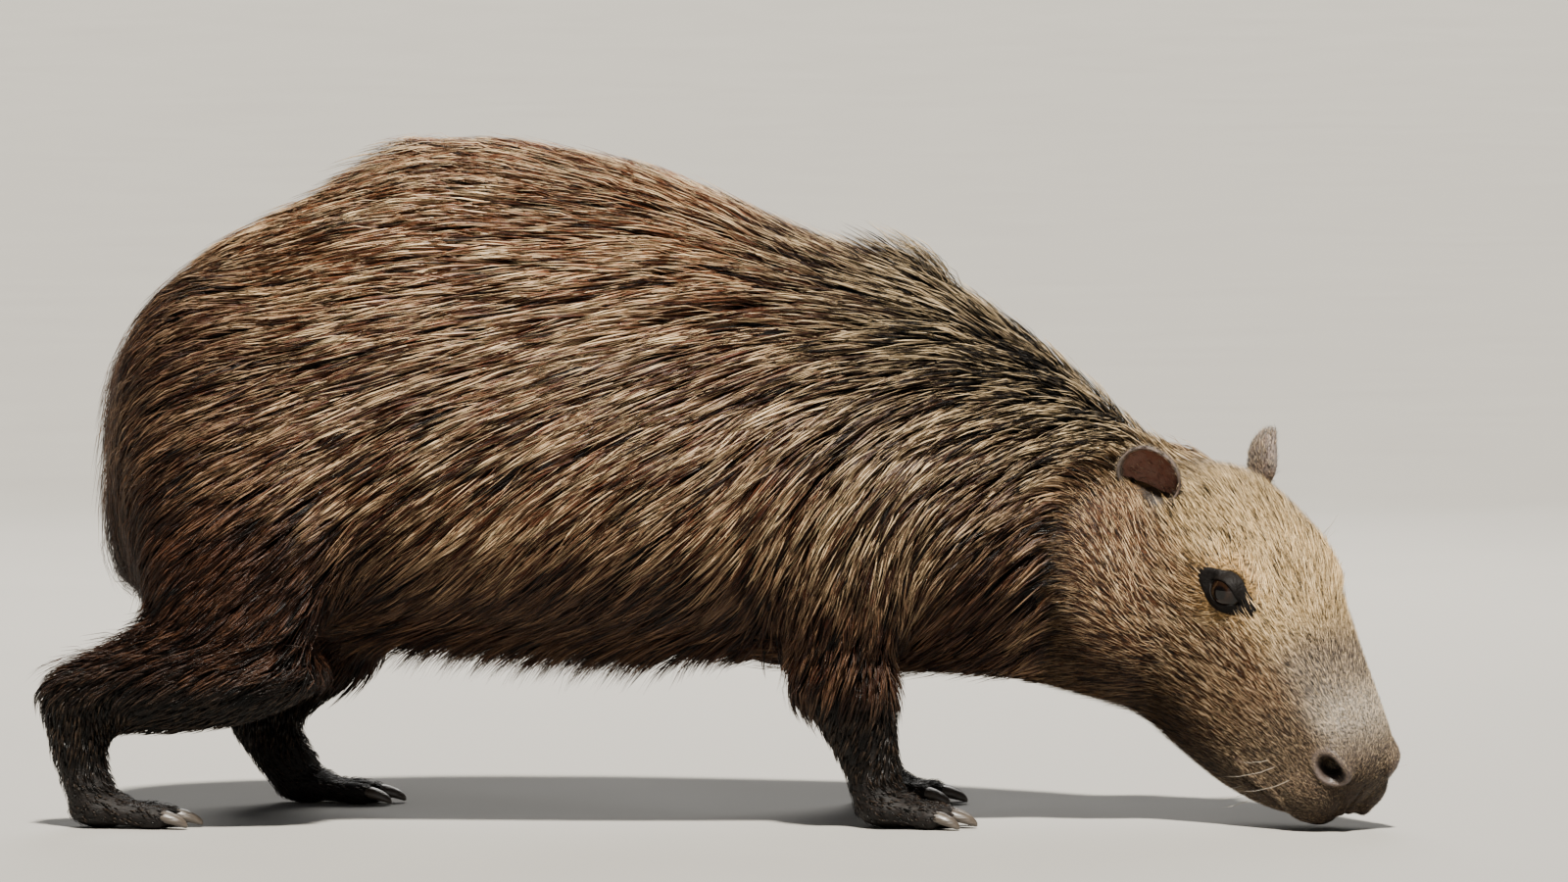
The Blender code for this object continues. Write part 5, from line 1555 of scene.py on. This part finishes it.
mat, nodes, shader = material("claw_horn", Coat_Weight=0.15, Coat_Roughness=0.3)
comb = nodes.add("ShaderNodeMapping", nodes.add("ShaderNodeTexCoord").outputs["Object"])
comb.inputs["Scale"].default_value = (0.15, 1.0, 1.0)
streaks = nodes.noise(comb.outputs[0], 500.0, 3.0)
nodes.give(shader.inputs["Base Color"], nodes.mix(streaks, (0.018, 0.014, 0.012, 1), (0.105, 0.085, 0.066, 1)))
nodes.give(shader.inputs["Roughness"], nodes.spread(streaks, 0.3, 0.7, 0.3, 0.5))
bump(nodes, shader, streaks, 0.0006)
claw_mat = mat

for obj in bpy.data.objects:
    for start, mat in (("eyeball", eye_mat), ("eyelids", lid_mat), ("ear_shell", ear_mat),
                       ("hind_claws", claw_mat), ("fore_claws", claw_mat)):
        if obj.name.startswith(start):
            obj.data.materials.append(mat)
print("materials:", sorted(mat.name for mat in bpy.data.materials if mat.users))

# %% [markdown]
# ## Floor, light and camera
# The animal stands on a plain pale floor, flat for many steps around it and rising gently far
# away, so it fills the picture from any side. A distant key light stands for the high sun, wide
# enough for a soft shadow; a faint fill from the camera's side opens the shadows, and a wide light
# from behind shows the far flank. The camera is far away with a long lens, a little above the
# floor, as in the photograph.

# %% Floor
bm = bmesh.new()
profile = [bm.verts.new((r, 0, 9e-5 * max(r - 12, 0) ** 3))
           for r in (0.0, 1.0, 4.0, 8.0, 12.0, 14.0, 16.0, 18.5, 21.0, 24.0, 28.0, 33.0, 39.0, 46.0, 54.0)]
edges = [bm.edges.new(pair) for pair in zip(profile, profile[1:])]
bmesh.ops.spin(bm, geom=profile + edges, axis=(0, 0, 1), cent=(0, 0, 0), angle=2 * math.pi, steps=96, use_merge=True)
bmesh.ops.remove_doubles(bm, verts=bm.verts, dist=0.0005)
bmesh.ops.recalc_face_normals(bm, faces=bm.faces)
if sum(face.normal.z for face in bm.faces) < 0:
    bmesh.ops.reverse_faces(bm, faces=bm.faces)
floor = to_object(bm, "floor")
floor.data.shade_smooth()
mat, nodes, shader = material("pale_floor")
place = nodes.add("ShaderNodeTexCoord").outputs["Object"]
cloud = nodes.noise(place, 3.0, 4.0)
nodes.give(shader.inputs["Base Color"], nodes.mix(cloud, (0.29, 0.284, 0.268, 1), (0.318, 0.31, 0.292, 1)))
nodes.give(shader.inputs["Roughness"], nodes.spread(cloud, 0.3, 0.7, 0.75, 0.85))
floor.data.materials.append(mat)
floor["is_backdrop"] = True
print("floor", len(floor.data.polygons), "faces, lowest and highest", [round(read(floor.data)[:, 2].min(), 3), round(read(floor.data)[:, 2].max(), 3)])

# %% Lights


def lamp(name, kind, place, aim, energy, tint):
    light = bpy.data.lights.new(name, kind)
    light.energy, light.color = energy, tint
    obj = bpy.data.objects.new(name, light)
    obj.location = place
    obj.rotation_euler = (Vector(aim) - Vector(place)).to_track_quat("-Z", "Y").to_euler()
    bpy.context.scene.collection.objects.link(obj)
    return light


lamp("key", "SUN", (0.2, -1.9, 4.1), (0.0, 0.0, 0.3), 12.5, (1.0, 0.94, 0.84)).angle = math.radians(5)
for name, place, size, energy, tint in (("fill", (1.5, -4.0, 1.2), 3.0, 12, (0.92, 0.96, 1.0)),
                                        ("back", (0.2, 3.4, 2.2), 2.5, 90, (1.0, 0.97, 0.92))):
    light = lamp(name, "AREA", place, (0.0, 0.0, 0.3), energy, tint)
    light.shape, light.size = "DISK", size
world = bpy.data.worlds.new("studio")
bpy.context.scene.world = world
world.use_nodes = True
world.node_tree.nodes["Background"].inputs["Color"].default_value = (0.80, 0.87, 1.0, 1)
world.node_tree.nodes["Background"].inputs["Strength"].default_value = 0.07
print("lights:", [light.name for light in bpy.data.lights])

# %% Camera
camera = bpy.data.objects.new("camera", bpy.data.cameras.new("camera"))
bpy.context.scene.collection.objects.link(camera)
TARGET, DISTANCE, RISE = Vector((0.052, 0, 0.306)), 9.0, math.radians(3)
camera.location = TARGET + Vector((0, -math.cos(RISE), math.sin(RISE))) * DISTANCE
camera.rotation_euler = (math.radians(90) - RISE, 0, 0)
camera.data.lens = 36 * DISTANCE / 1.28
bpy.context.scene.camera = camera
print("camera", [round(c, 3) for c in camera.location], "lens", round(camera.data.lens, 1))

# %% Finish
model_box = [list(corner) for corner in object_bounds()]
for word, box in (("solids", cad_box), ("model", model_box)):
    print(word, [round(1000 * (b - a), 1) for a, b in zip(*box)], "mm, from", [round(c, 4) for c in box[0]])
